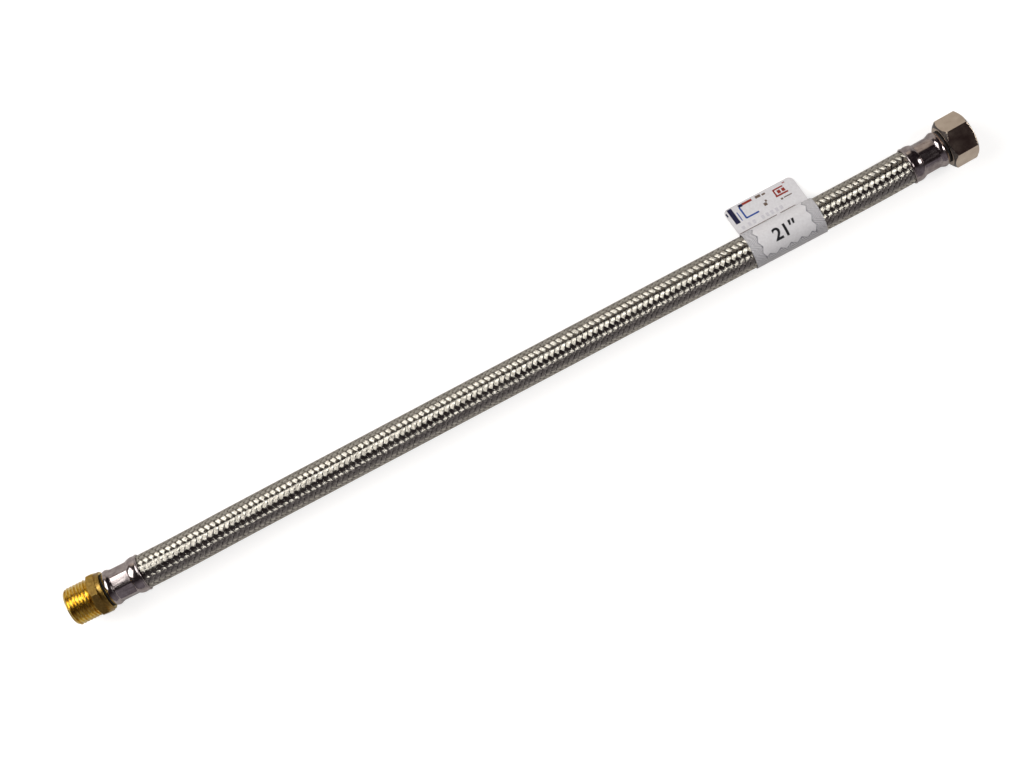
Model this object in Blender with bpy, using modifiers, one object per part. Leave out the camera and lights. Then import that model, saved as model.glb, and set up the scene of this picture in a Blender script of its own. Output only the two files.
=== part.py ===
"""Braided stainless steel water hose of the 1/2 inch size.

A rubber tube in a braid of stainless steel wire, with a brass male thread fitting crimped on one end
and a swivelling union nut on the other. The hose lies on a table at z = 0 and runs along +X, from the
male thread to the nut. The nut lies on a flat, the brass hexagon on a corner, and the folded size label
holds its flag's edge against the table.
"""
import math

import bmesh
import bpy
from mathutils import Matrix, Vector

# Fits
CLEARANCE = 0.0003
MERGE_DISTANCE = 0.000001

# Route of the hose's axis, from the mouth of one ferrule to the mouth of the other
ROUTE = [
    (-0.2247, -0.00466, 0.01252),
    (-0.2170, -0.00481, 0.01250),
    (-0.2060, -0.00495, 0.01232),
    (-0.1960, -0.00500, 0.01185),
    (-0.1860, -0.00500, 0.01112),
    (-0.1760, -0.00500, 0.01036),
    (-0.1650, -0.00500, 0.00976),
    (-0.1500, -0.00500, 0.00955),
    (-0.1100, -0.00500, 0.00955),
    (-0.0600, -0.00500, 0.00955),
    (-0.0100, -0.00500, 0.00955),
    (0.0400, -0.00500, 0.00955),
    (0.0800, -0.00500, 0.00955),
    (0.1050, -0.00500, 0.00968),
    (0.1200, -0.00500, 0.00996),
    (0.1350, -0.00500, 0.01010),
    (0.1550, -0.00500, 0.01010),
    (0.1760, -0.00500, 0.01010),
    (0.1880, -0.00498, 0.01024),
    (0.1990, -0.00490, 0.01073),
    (0.2090, -0.00475, 0.01139),
    (0.2190, -0.00452, 0.01187),
    (0.2299, -0.00423, 0.01200),
]
START_HEADING = math.radians(-1.2)
END_HEADING = math.radians(1.6)
SAMPLES_PER_SPAN = 24

# Rubber tube and wire braid
TUBE_BORE_RADIUS = 0.0065
TUBE_WALL = 0.0020
PINCHED_TUBE_WALL = 0.0008
BRAID_THICKNESS = 0.0007
PINCHED_BRAID_THICKNESS = 0.00035
BRAID_DRAW_IN = 0.0002
DRAW_IN_LENGTH = 0.0020
BRAID_BUNDLES_EACH_WAY = 12
BRAID_LEAD = 0.0391
BRAID_VALLEY = 0.00035
BRAID_SEAM = 0.00030
BRAID_SEAM_ANGLE = math.radians(-6.6)

# Crimp ferrules, measured from the mouth that the hose goes into
FERRULE_LENGTH = 0.0206
FERRULE_WALL = 0.0006
FERRULE_END_WALL = 0.0008
FERRULE_LIP_LENGTH = 0.0012
FERRULE_SKIRT_LENGTH = 0.0066
FERRULE_BEAD_LENGTH = 0.0046
CRIMP_FLAT_WALL = 0.0005
CRIMP_RIDGE_WALL = 0.00105
BEAD_RISE = 0.0007
SKIRT_RISE = 0.0005
LIP_RISE = 0.0004
DIE_JAWS = 8
DIE_END_SLOPE = 0.6
DIE_ROLL = math.radians(10.0)

# Tails that the tube is pushed on
TAIL_BORE_RADIUS = 0.00475
TAIL_INSET = 0.0020
BARB_COUNT = 4
BARB_DEPTH = 0.0005
TAIL_NECK_RADIUS = 0.0066

# Male fitting, G 1/2, 20.955 mm across its crests
FITTING_GAP = 0.0009
COLLAR_RADIUS = 0.0107
COLLAR_LENGTH = 0.0025
MALE_HEX_ACROSS_FLATS = 0.0220
MALE_HEX_LENGTH = 0.0048
MALE_HEX_ROLL = math.radians(-20.4)
THREAD_RADIUS = 0.0104775
THREAD_LENGTH = 0.0139
THREAD_LEAD_IN = 0.0009
MALE_MOUTH_RADIUS = 0.0072
MALE_MOUTH_DEPTH = 0.0129
MALE_MOUTH_TAPER = 0.0040

# Swivelling union nut, G 1/2 inside
NUT_ACROSS_FLATS = 0.0240
NUT_LENGTH = 0.0150
NUT_GAP = 0.0010
NUT_BACK_WALL = 0.0030
NUT_BORE_RADIUS = 0.00932
NUT_BACK_RADIUS = 0.0109
NUT_FRONT_RADIUS = 0.0113
NUT_BACK_CHAMFER_ANGLE = math.radians(40.0)
NUT_FRONT_CHAMFER_ANGLE = math.radians(62.0)
NUT_MOUTH_CHAMFER = 0.0007
NUT_HOLE_PLAY = 0.0004

# Swivel tail's flange and the washer that it carries
FLANGE_LENGTH = 0.0016
WASHER_THICKNESS = 0.0020
WASHER_HOLE_RADIUS = 0.00575

# Folded film label
LABEL_CENTRE = 0.3813
LABEL_WIDTH = 0.0416
LABEL_FILM = 0.00025
FLAG_LENGTH = 0.0163
FLAG_THICKNESS = 0.0004
FLAG_CORNER_RADIUS = 0.0030
FLAG_LEAN = math.radians(6.0)
FLAG_TABLE_GAP = 0.00002

# Facets round the turned pieces
FERRULE_STEPS = 32
FITTING_STEPS = 36
BRAID_COLUMNS = 2 * BRAID_BUNDLES_EACH_WAY
TUBE_STEPS = 16
TAIL_STEPS = 24
WASHER_STEPS = 32
LABEL_STEPS = 36
BUMP_STEPS = 4

# Sizes that follow from the ones above
TUBE_RADIUS = TUBE_BORE_RADIUS + TUBE_WALL
BRAID_BORE_RADIUS = TUBE_RADIUS + CLEARANCE
BRAID_RADIUS = BRAID_BORE_RADIUS + BRAID_THICKNESS
PINCHED_TUBE_RADIUS = TUBE_BORE_RADIUS + PINCHED_TUBE_WALL
PINCHED_BRAID_BORE = PINCHED_TUBE_RADIUS + CLEARANCE
PINCHED_BRAID_RADIUS = PINCHED_BRAID_BORE + PINCHED_BRAID_THICKNESS
FERRULE_MOUTH_RADIUS = BRAID_RADIUS - BRAID_DRAW_IN + CLEARANCE
FERRULE_NECK_BORE = PINCHED_BRAID_RADIUS + CLEARANCE
CRIMP_FLAT_RADIUS = FERRULE_NECK_BORE + CRIMP_FLAT_WALL
CRIMP_RIDGE_RADIUS = FERRULE_NECK_BORE + CRIMP_RIDGE_WALL
DIE_OUTER_RADIUS = FERRULE_MOUTH_RADIUS + FERRULE_WALL + SKIRT_RISE + LIP_RISE
NECK_START = FERRULE_SKIRT_LENGTH
NECK_END = FERRULE_LENGTH - FERRULE_BEAD_LENGTH
HOSE_END_DEPTH = FERRULE_LENGTH - FERRULE_END_WALL - CLEARANCE
BARB_RADIUS = TUBE_BORE_RADIUS - CLEARANCE
TAIL_NECK_START = HOSE_END_DEPTH + CLEARANCE
FERRULE_HOLE_RADIUS = TAIL_NECK_RADIUS + CLEARANCE
COLLAR_START = FERRULE_LENGTH + FITTING_GAP
MALE_HEX_START = COLLAR_START + COLLAR_LENGTH
THREAD_START = MALE_HEX_START + MALE_HEX_LENGTH
MALE_END = THREAD_START + THREAD_LENGTH
NUT_START = FERRULE_LENGTH + NUT_GAP
NUT_END = NUT_START + NUT_LENGTH
FLANGE_START = NUT_START + NUT_BACK_WALL + CLEARANCE
FLANGE_END = FLANGE_START + FLANGE_LENGTH
WASHER_START = FLANGE_END + CLEARANCE
WASHER_END = WASHER_START + WASHER_THICKNESS
SEAT_RADIUS = NUT_BORE_RADIUS - CLEARANCE
LABEL_BORE_RADIUS = BRAID_RADIUS + CLEARANCE
LABEL_RADIUS = LABEL_BORE_RADIUS + LABEL_FILM


def smooth_route():
    """The route as close points on one smooth curve, and the distance of each along it."""
    knots = [Vector(point) for point in ROUTE]
    headings = [Vector((math.cos(START_HEADING), math.sin(START_HEADING), 0.0))]
    for before, after in zip(knots, knots[2:]):
        headings.append((after - before).normalized())
    headings.append(Vector((math.cos(END_HEADING), math.sin(END_HEADING), 0.0)))
    points = [knots[0]]
    for index in range(len(knots) - 1):
        start, end = knots[index], knots[index + 1]
        span = (end - start).length
        for step in range(1, SAMPLES_PER_SPAN + 1):
            t = step / SAMPLES_PER_SPAN
            points.append(
                start * (2 * t**3 - 3 * t**2 + 1)
                + headings[index] * span * (t**3 - 2 * t**2 + t)
                + end * (3 * t**2 - 2 * t**3)
                + headings[index + 1] * span * (t**3 - t**2)
            )
    distances = [0.0]
    for before, after in zip(points, points[1:]):
        distances.append(distances[-1] + (after - before).length)
    return points, distances, headings[0], headings[-1]


ROUTE_POINTS, ROUTE_DISTANCES, START_DIRECTION, END_DIRECTION = smooth_route()
HOSE_LENGTH = ROUTE_DISTANCES[-1]
FREE_START = DRAW_IN_LENGTH
FREE_END = HOSE_LENGTH - DRAW_IN_LENGTH
BRAID_PITCHES = round((FREE_END - FREE_START) / BRAID_LEAD * BRAID_BUNDLES_EACH_WAY)
BRAID_PITCH = (FREE_END - FREE_START) / BRAID_PITCHES


def route_point(distance):
    """A point of the hose's axis, which runs on straight inside the ferrules."""
    if distance <= 0.0:
        return ROUTE_POINTS[0] + START_DIRECTION * distance
    if distance >= HOSE_LENGTH:
        return ROUTE_POINTS[-1] + END_DIRECTION * (distance - HOSE_LENGTH)
    low, high = 0, len(ROUTE_DISTANCES) - 1
    while high - low > 1:
        middle = (low + high) // 2
        if ROUTE_DISTANCES[middle] <= distance:
            low = middle
        else:
            high = middle
    share = (distance - ROUTE_DISTANCES[low]) / (ROUTE_DISTANCES[high] - ROUTE_DISTANCES[low])
    return ROUTE_POINTS[low].lerp(ROUTE_POINTS[high], share)


def axis_matrix(origin, direction):
    """A frame whose Z runs along the given direction, with its X as nearly up as it can be."""
    up = Vector((0.0, 0.0, 1.0))
    along = direction.normalized()
    side = along.cross(up).normalized()
    rise = side.cross(along)
    return Matrix.Translation(origin) @ Matrix((rise, side, along)).transposed().to_4x4()


def route_matrix(distance, reach=0.0005):
    """The frame of the hose's axis at a distance from the first ferrule's mouth."""
    direction = route_point(distance + reach) - route_point(distance - reach)
    return axis_matrix(route_point(distance), direction)


def finish(name, colour, roughness, metallic):
    """A Principled material in a linear colour."""
    material = bpy.data.materials.new(name)
    material.use_nodes = True
    shader = material.node_tree.nodes["Principled BSDF"]
    shader.inputs["Base Color"].default_value = (*colour, 1.0)
    shader.inputs["Roughness"].default_value = roughness
    shader.inputs["Metallic"].default_value = metallic
    material.diffuse_color = (*colour, 1.0)
    return material


def turned(name, outline, steps, collection):
    """A ring turned round Z from a closed outline of (radius, height), drawn down its outer side.

    The outline stands half a facet off X, so that no facet's edge meets the corner of a hexagon.
    """
    mesh = bpy.data.meshes.new(name)
    count = len(outline)
    edges = [(index, (index + 1) % count) for index in range(count)]
    turn = Matrix.Rotation(math.pi / steps, 3, "Z")
    mesh.from_pydata([turn @ Vector((radius, 0.0, height)) for radius, height in outline], edges, [])
    obj = bpy.data.objects.new(name, mesh)
    collection.objects.link(obj)
    screw = obj.modifiers.new("turning", "SCREW")
    screw.steps = steps
    screw.render_steps = steps
    screw.use_merge_vertices = True
    screw.merge_threshold = MERGE_DISTANCE
    return obj


def hexagon(name, across_flats, roll, start, end, collection):
    """A hexagonal prism along Z, with a flat that faces X before it is rolled."""
    mesh = bpy.data.meshes.new(name)
    shape = bmesh.new()
    radius = across_flats / 2 / math.cos(math.pi / 6)
    bmesh.ops.create_cone(
        shape, cap_ends=True, segments=6, radius1=radius, radius2=radius, depth=end - start
    )
    place = Matrix.Rotation(roll, 4, "Z") @ Matrix.Translation((0.0, 0.0, (start + end) / 2))
    bmesh.ops.transform(shape, matrix=place, verts=shape.verts)
    shape.to_mesh(mesh)
    shape.free()
    obj = bpy.data.objects.new(name, mesh)
    collection.objects.link(obj)
    return obj


def boolean(obj, tool, operation):
    """Cuts or joins an object with a tool, which is then hidden from the render."""
    modifier = obj.modifiers.new(tool.name, "BOOLEAN")
    modifier.operation = operation
    modifier.object = tool
    tool.display_type = "WIRE"
    tool.hide_render = True


def baked(obj):
    """The object's mesh with its modifiers applied."""
    depsgraph = bpy.context.evaluated_depsgraph_get()
    mesh = bpy.data.meshes.new_from_object(obj.evaluated_get(depsgraph))
    obj.modifiers.clear()
    obj.data = mesh
    return mesh


def lay_along_route(obj):
    """Bends a straight piece, whose z is the distance along the hose, onto the hose's route."""
    for vertex in baked(obj).vertices:
        across = Vector((vertex.co.x, vertex.co.y, 0.0))
        vertex.co = route_matrix(vertex.co.z) @ across


def set_on(obj, carrier, material):
    """Places a piece on the empty that carries it and gives it its material."""
    obj.parent = carrier
    obj.data.materials.append(material)


def bump(start, end, rise):
    """Outline points from one (radius, height) to another that swell outwards by a rise."""
    points = []
    for step in range(BUMP_STEPS + 1):
        t = step / BUMP_STEPS
        radius = start[0] + (end[0] - start[0]) * t + rise * math.sin(math.pi * t)
        points.append((radius, start[1] + (end[1] - start[1]) * t))
    return points


def barbed_tail_outline():
    """Outer side of a hose tail, from its neck down to its tip."""
    outline = [(TAIL_NECK_RADIUS, TAIL_NECK_START)]
    barb_length = (TAIL_NECK_START - TAIL_INSET) / BARB_COUNT
    for barb in range(BARB_COUNT):
        top = TAIL_NECK_START - barb * barb_length
        outline.append((BARB_RADIUS, top))
        outline.append((BARB_RADIUS - BARB_DEPTH, top - barb_length))
    outline.append((TAIL_BORE_RADIUS, TAIL_INSET))
    return outline


def make_ferrule(name, carrier, parts, cutters, material):
    """A thin turned sleeve, crimped by eight jaws between its skirt and its bead."""
    lip_radius = FERRULE_MOUTH_RADIUS + FERRULE_WALL / 2
    skirt_radius = FERRULE_MOUTH_RADIUS + FERRULE_WALL * 0.6
    bead_inner_radius = CRIMP_RIDGE_RADIUS + BEAD_RISE - FERRULE_WALL
    outline = [(FERRULE_HOLE_RADIUS, FERRULE_LENGTH)]
    outline += bump((CRIMP_RIDGE_RADIUS, FERRULE_LENGTH), (CRIMP_RIDGE_RADIUS, NECK_END), BEAD_RISE)
    outline += bump((CRIMP_RIDGE_RADIUS, NECK_START), (skirt_radius, FERRULE_LIP_LENGTH), SKIRT_RISE)
    outline += bump((skirt_radius, FERRULE_LIP_LENGTH), (lip_radius, 0.0), LIP_RISE)[1:]
    outline += [
        (FERRULE_MOUTH_RADIUS, 0.0),
        (FERRULE_MOUTH_RADIUS, NECK_START * 0.6),
        (FERRULE_NECK_BORE, NECK_START),
        (FERRULE_NECK_BORE, NECK_END),
        (bead_inner_radius, NECK_END + FERRULE_BEAD_LENGTH * 0.4),
        (bead_inner_radius, FERRULE_LENGTH - FERRULE_END_WALL * 2),
        (bead_inner_radius - FERRULE_END_WALL, FERRULE_LENGTH - FERRULE_END_WALL),
        (FERRULE_HOLE_RADIUS, FERRULE_LENGTH - FERRULE_END_WALL),
    ]
    ferrule = turned(name, outline, FERRULE_STEPS, parts)
    corner = 1 / math.cos(math.pi / DIE_JAWS)
    slope = (DIE_OUTER_RADIUS - CRIMP_FLAT_RADIUS) * DIE_END_SLOPE
    jaws = turned(
        name + "_die",
        [
            (DIE_OUTER_RADIUS * corner, NECK_END + slope),
            (DIE_OUTER_RADIUS * corner, NECK_START - slope),
            (CRIMP_FLAT_RADIUS * corner, NECK_START),
            (CRIMP_FLAT_RADIUS * corner, NECK_END),
        ],
        DIE_JAWS,
        cutters,
    )
    jaws.rotation_euler.z = DIE_ROLL
    jaws.parent = carrier
    boolean(ferrule, jaws, "DIFFERENCE")
    set_on(ferrule, carrier, material)
    return ferrule


def make_male_fitting(carrier, parts, cutters, material):
    """Thread, hexagon, collar and barbed tail turned in one piece, with the hexagon milled."""
    corner_radius = MALE_HEX_ACROSS_FLATS / 2 / math.cos(math.pi / 6)
    flat_radius = MALE_HEX_ACROSS_FLATS / 2
    chamfer = (corner_radius - flat_radius) * math.tan(math.radians(35.0))
    edge = FITTING_GAP / 3
    outline = [
        (THREAD_RADIUS - THREAD_LEAD_IN, MALE_END),
        (THREAD_RADIUS, MALE_END - THREAD_LEAD_IN),
        (THREAD_RADIUS, THREAD_START),
        (flat_radius - edge, THREAD_START),
        (corner_radius + edge, THREAD_START - chamfer - edge),
        (corner_radius + edge, MALE_HEX_START + edge),
        (corner_radius - edge, MALE_HEX_START),
        (COLLAR_RADIUS, MALE_HEX_START),
        (COLLAR_RADIUS, COLLAR_START + edge),
        (COLLAR_RADIUS - edge, COLLAR_START),
        (TAIL_NECK_RADIUS, COLLAR_START),
    ]
    outline += barbed_tail_outline()
    outline += [
        (TAIL_BORE_RADIUS, MALE_END - MALE_MOUTH_DEPTH - MALE_MOUTH_TAPER),
        (MALE_MOUTH_RADIUS, MALE_END - MALE_MOUTH_DEPTH),
        (MALE_MOUTH_RADIUS, MALE_END),
    ]
    fitting = turned("male_fitting", outline, FITTING_STEPS, parts)
    stock = hexagon(
        "male_hexagon", MALE_HEX_ACROSS_FLATS, MALE_HEX_ROLL, 0.0, MALE_END + COLLAR_LENGTH, cutters
    )
    stock.parent = carrier
    boolean(fitting, stock, "INTERSECT")
    set_on(fitting, carrier, material)
    return fitting


def make_swivel_tail(carrier, parts, material):
    """Barbed tail that passes through the back of the nut and ends in the flange it turns on."""
    outline = [
        (SEAT_RADIUS, FLANGE_END),
        (SEAT_RADIUS, FLANGE_START),
        (TAIL_NECK_RADIUS, FLANGE_START),
    ]
    outline += barbed_tail_outline()
    outline.append((TAIL_BORE_RADIUS, FLANGE_END))
    tail = turned("swivel_tail", outline, TAIL_STEPS, parts)
    set_on(tail, carrier, material)
    return tail


def make_swivel_nut(carrier, parts, cutters, material):
    """Union nut: hexagon with a long chamfer behind and a flat one in front, and a smooth bore."""
    corner_radius = NUT_ACROSS_FLATS / 2 / math.cos(math.pi / 6) + CLEARANCE
    back_chamfer = (corner_radius - NUT_BACK_RADIUS) / math.tan(NUT_BACK_CHAMFER_ANGLE)
    front_chamfer = (corner_radius - NUT_FRONT_RADIUS) / math.tan(NUT_FRONT_CHAMFER_ANGLE)
    hole_radius = TAIL_NECK_RADIUS + NUT_HOLE_PLAY
    outline = [
        (NUT_FRONT_RADIUS, NUT_END),
        (corner_radius, NUT_END - front_chamfer),
        (corner_radius, NUT_START + back_chamfer),
        (NUT_BACK_RADIUS, NUT_START),
        (hole_radius, NUT_START),
        (hole_radius, NUT_START + NUT_BACK_WALL),
        (NUT_BORE_RADIUS, NUT_START + NUT_BACK_WALL),
        (NUT_BORE_RADIUS, NUT_END - NUT_MOUTH_CHAMFER),
        (NUT_BORE_RADIUS + NUT_MOUTH_CHAMFER, NUT_END),
    ]
    nut = turned("swivel_nut", outline, FITTING_STEPS, parts)
    stock = hexagon(
        "nut_hexagon", NUT_ACROSS_FLATS, 0.0, NUT_START - NUT_GAP, NUT_END + NUT_GAP, cutters
    )
    stock.parent = carrier
    boolean(nut, stock, "INTERSECT")
    set_on(nut, carrier, material)
    return nut


def make_washer(carrier, parts, material):
    """Flat ring in the nut, in front of the tail's flange."""
    outline = [
        (SEAT_RADIUS, WASHER_END),
        (SEAT_RADIUS, WASHER_START),
        (WASHER_HOLE_RADIUS, WASHER_START),
        (WASHER_HOLE_RADIUS, WASHER_END),
    ]
    washer = turned("sealing_washer", outline, WASHER_STEPS, parts)
    set_on(washer, carrier, material)
    return washer


def pinched_end(mouth_radius, pinched_radius):
    """Outline of a hose layer's first end: pinched in the neck and drawn in at the mouth."""
    return [
        (pinched_radius, -HOSE_END_DEPTH),
        (pinched_radius, -NECK_START),
        (mouth_radius, -NECK_START * 0.6),
        (mouth_radius, 0.0),
    ]


def pinched_outline(free_radius, mouth_radius, pinched_radius):
    """Outline of a hose layer from end to end, with a station at each of the route's points."""
    start = pinched_end(mouth_radius, pinched_radius)
    knots = ROUTE_DISTANCES[::SAMPLES_PER_SPAN]
    middle = [(free_radius, distance) for distance in (FREE_START, *knots[1:-1], FREE_END)]
    end = [(radius, HOSE_LENGTH - distance) for radius, distance in reversed(start)]
    return start + middle + end


def make_inner_hose(parts, material):
    """Rubber tube, open at both ends, squeezed on the tails."""
    outer = pinched_outline(TUBE_RADIUS, TUBE_RADIUS - BRAID_DRAW_IN, PINCHED_TUBE_RADIUS)
    inner = [(TUBE_BORE_RADIUS, distance) for radius, distance in outer]
    tube = turned("inner_hose", outer[::-1] + inner, TUBE_STEPS, parts)
    lay_along_route(tube)
    tube.data.materials.append(material)
    return tube


def place_on_route(shape, radius, angle, distance):
    """A vertex round the hose, at an angle from its top."""
    across = Vector((radius * math.cos(angle), radius * math.sin(angle), 0.0))
    return shape.verts.new(route_matrix(distance) @ across)


def column_angle(column):
    """Angle of a braid column. Even columns are the seams between two rows of bundles."""
    return BRAID_SEAM_ANGLE + 2 * math.pi * column / BRAID_COLUMNS


def ring(shape, radius, distance):
    """One vertex on each braid column, all at the same distance."""
    return [
        place_on_route(shape, radius, column_angle(column), distance)
        for column in range(BRAID_COLUMNS)
    ]


def join_rings(shape, first, second):
    """Faces between two rings."""
    for column in range(BRAID_COLUMNS):
        shape.faces.new((first[column - 1], first[column], second[column], second[column - 1]))


def braid_column(shape, column):
    """Vertices along one column, each with its distance.

    A seam is low all along. A row's middle rises over each bundle and dips between two, and the rows
    that lean the other way are half a pitch on.
    """
    angle = column_angle(column)
    if column % 2:
        leans_back = column % 4 == 3
        stations = [
            (FREE_START + BRAID_PITCH * step / 2, BRAID_VALLEY * ((step + leans_back) % 2))
            for step in range(2 * BRAID_PITCHES + 1)
        ]
    elif column % 4:
        middles = [FREE_START + BRAID_PITCH * (step + 0.5) for step in range(BRAID_PITCHES)]
        stations = [(distance, BRAID_SEAM) for distance in (FREE_START, *middles, FREE_END)]
    else:
        stations = [
            (FREE_START + BRAID_PITCH * step, BRAID_SEAM) for step in range(BRAID_PITCHES + 1)
        ]
    return [
        (distance, place_on_route(shape, BRAID_RADIUS - dip, angle, distance))
        for distance, dip in stations
    ]


def weave_strip(shape, middle, seam, shift):
    """Faces between a row's middle and a seam, along the slant of the row's bundles."""
    at, beside = 0, 0
    last, last_beside = len(middle) - 1, len(seam) - 1
    while at < last or beside < last_beside:
        seam_next = beside < last_beside and (
            at == last or seam[beside + 1][0] - shift < middle[at + 1][0] + BRAID_PITCH / 8
        )
        if seam_next:
            corners = (middle[at][1], seam[beside + 1][1], seam[beside][1])
            beside += 1
        else:
            corners = (middle[at][1], middle[at + 1][1], seam[beside][1])
            at += 1
        shape.faces.new(corners)


def make_wire_braid(parts, material):
    """Sleeve of woven wire round the tube, with a ridge for each bundle where it lies on top."""
    shape = bmesh.new()
    columns = [braid_column(shape, column) for column in range(BRAID_COLUMNS)]
    for column in range(1, BRAID_COLUMNS, 2):
        before, after = columns[column - 1], columns[(column + 1) % BRAID_COLUMNS]
        slant = BRAID_PITCH / 2 if column % 4 == 1 else -BRAID_PITCH / 2
        weave_strip(shape, columns[column], after, slant)
        weave_strip(shape, columns[column], before, -slant)
    first = [column[0][1] for column in columns]
    last = [column[-1][1] for column in columns]
    outer_end = pinched_end(BRAID_RADIUS - BRAID_DRAW_IN, PINCHED_BRAID_RADIUS)
    inner = pinched_outline(
        BRAID_BORE_RADIUS, BRAID_BORE_RADIUS - BRAID_DRAW_IN, PINCHED_BRAID_BORE
    )
    rings = [last]
    rings += [ring(shape, radius, HOSE_LENGTH - distance) for radius, distance in reversed(outer_end)]
    rings += [ring(shape, radius, distance) for radius, distance in reversed(inner)]
    rings += [ring(shape, radius, distance) for radius, distance in outer_end]
    rings.append(first)
    for before, after in zip(rings, rings[1:]):
        join_rings(shape, before, after)
    bmesh.ops.triangulate(shape, faces=shape.faces[:])
    bmesh.ops.recalc_face_normals(shape, faces=shape.faces[:])
    mesh = bpy.data.meshes.new("wire_braid")
    shape.to_mesh(mesh)
    shape.free()
    braid = bpy.data.objects.new("wire_braid", mesh)
    parts.objects.link(braid)
    mesh.materials.append(material)
    return braid


def make_label(parts, cutters, material):
    """Film wrapped round the hose, with its two ends stuck together as a flag that rests on the table."""
    place = route_matrix(LABEL_CENTRE)
    half_width = LABEL_WIDTH / 2
    label = turned(
        "size_label",
        [
            (LABEL_RADIUS, half_width),
            (LABEL_RADIUS, -half_width),
            (LABEL_BORE_RADIUS, -half_width),
            (LABEL_BORE_RADIUS, half_width),
        ],
        LABEL_STEPS,
        parts,
    )
    label.matrix_world = place
    root = LABEL_BORE_RADIUS + LABEL_FILM / 2
    tip = LABEL_RADIUS + FLAG_LENGTH
    tip_height = place.translation.z - FLAG_TABLE_GAP
    droop = math.asin(tip_height / math.hypot(tip, FLAG_THICKNESS / 2)) - math.atan(FLAG_THICKNESS / 2 / tip)
    shape = bmesh.new()
    bmesh.ops.create_cube(shape, size=1.0)
    bmesh.ops.scale(shape, vec=(tip - root, FLAG_THICKNESS, LABEL_WIDTH - CLEARANCE), verts=shape.verts)
    bmesh.ops.translate(shape, vec=((tip + root) / 2, 0.0, 0.0), verts=shape.verts)
    corners = [
        edge
        for edge in shape.edges
        if all(vertex.co.x > root + FLAG_LENGTH / 2 for vertex in edge.verts)
        and abs(edge.verts[0].co.y - edge.verts[1].co.y) > FLAG_THICKNESS / 2
    ]
    bmesh.ops.bevel(
        shape, geom=corners, offset=FLAG_CORNER_RADIUS, segments=4, profile=0.5, affect="EDGES", material=-1
    )
    for vertex in shape.verts:
        vertex.co.z -= (vertex.co.x - root) * math.tan(FLAG_LEAN)
    mesh = bpy.data.meshes.new("label_flag")
    shape.to_mesh(mesh)
    shape.free()
    flag = bpy.data.objects.new("label_flag", mesh)
    cutters.objects.link(flag)
    flag.matrix_world = place @ Matrix.Rotation(-math.pi / 2 - droop, 4, "Z")
    boolean(label, flag, "UNION")
    label.data.materials.append(material)
    return label


def main():
    for obj in list(bpy.data.objects):
        bpy.data.objects.remove(obj, do_unlink=True)
    parts = bpy.data.collections.new("braided_hose")
    cutters = bpy.data.collections.new("cutters")
    for collection in (parts, cutters):
        bpy.context.scene.collection.children.link(collection)

    brass = finish("brass", (0.60, 0.38, 0.10), 0.28, 1.0)
    steel = finish("stainless_steel", (0.55, 0.53, 0.51), 0.25, 1.0)
    wire = finish("stainless_wire", (0.58, 0.57, 0.52), 0.3, 1.0)
    plating = finish("nickel_plating", (0.60, 0.52, 0.44), 0.15, 1.0)
    rubber = finish("epdm_rubber", (0.03, 0.03, 0.03), 0.7, 0.0)
    film = finish("printed_film", (0.82, 0.80, 0.80), 0.25, 0.0)

    male_end = bpy.data.objects.new("male_end", None)
    nut_end = bpy.data.objects.new("nut_end", None)
    for empty, place in (
        (male_end, axis_matrix(route_point(0.0), -START_DIRECTION)),
        (nut_end, axis_matrix(route_point(HOSE_LENGTH), END_DIRECTION)),
    ):
        parts.objects.link(empty)
        empty.matrix_world = place

    make_inner_hose(parts, rubber)
    make_wire_braid(parts, wire)
    make_male_fitting(male_end, parts, cutters, brass)
    make_ferrule("male_ferrule", male_end, parts, cutters, steel)
    make_ferrule("nut_ferrule", nut_end, parts, cutters, steel)
    make_swivel_tail(nut_end, parts, brass)
    make_swivel_nut(nut_end, parts, cutters, plating)
    make_washer(nut_end, parts, rubber)
    make_label(parts, cutters, film)


main()
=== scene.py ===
"""Braided stainless steel water hose, dressed for its product picture.

The wires, the crimped ferrules, the threads, the nut and the printed label are modelled over the
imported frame, which gives every place and size.
"""
import functools
import math

import bmesh
import bpy
import numpy as np
from mathutils import Matrix, Vector


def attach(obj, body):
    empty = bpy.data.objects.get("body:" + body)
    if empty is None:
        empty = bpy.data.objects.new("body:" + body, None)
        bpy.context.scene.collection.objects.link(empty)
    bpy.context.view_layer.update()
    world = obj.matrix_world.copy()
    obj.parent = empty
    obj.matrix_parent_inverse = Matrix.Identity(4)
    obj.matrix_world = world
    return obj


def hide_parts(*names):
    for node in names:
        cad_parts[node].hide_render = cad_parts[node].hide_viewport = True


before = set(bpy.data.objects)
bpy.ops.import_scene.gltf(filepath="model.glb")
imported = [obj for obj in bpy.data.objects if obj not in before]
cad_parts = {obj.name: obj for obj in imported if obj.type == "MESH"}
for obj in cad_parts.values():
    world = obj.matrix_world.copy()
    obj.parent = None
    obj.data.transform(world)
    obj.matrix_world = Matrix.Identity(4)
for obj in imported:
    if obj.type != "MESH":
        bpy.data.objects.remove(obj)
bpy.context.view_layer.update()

bl_info = {
    "name": "Braided water hose",
    "version": (1, 0, 0),
    "blender": (4, 5, 0),
    "location": "View3D > Sidebar > Hose",
    "description": "Builds a braided stainless steel water hose with its crimped ends and label",
    "category": "Object",
}

MM = 0.001
HOSE_BODY = "hose"
NUT_BODY = "union_nut"
# Points this near are one point, and points within a hair of a height lie at it
MERGE_DISTANCE = 0.000001
HAIR = 0.00003

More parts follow.
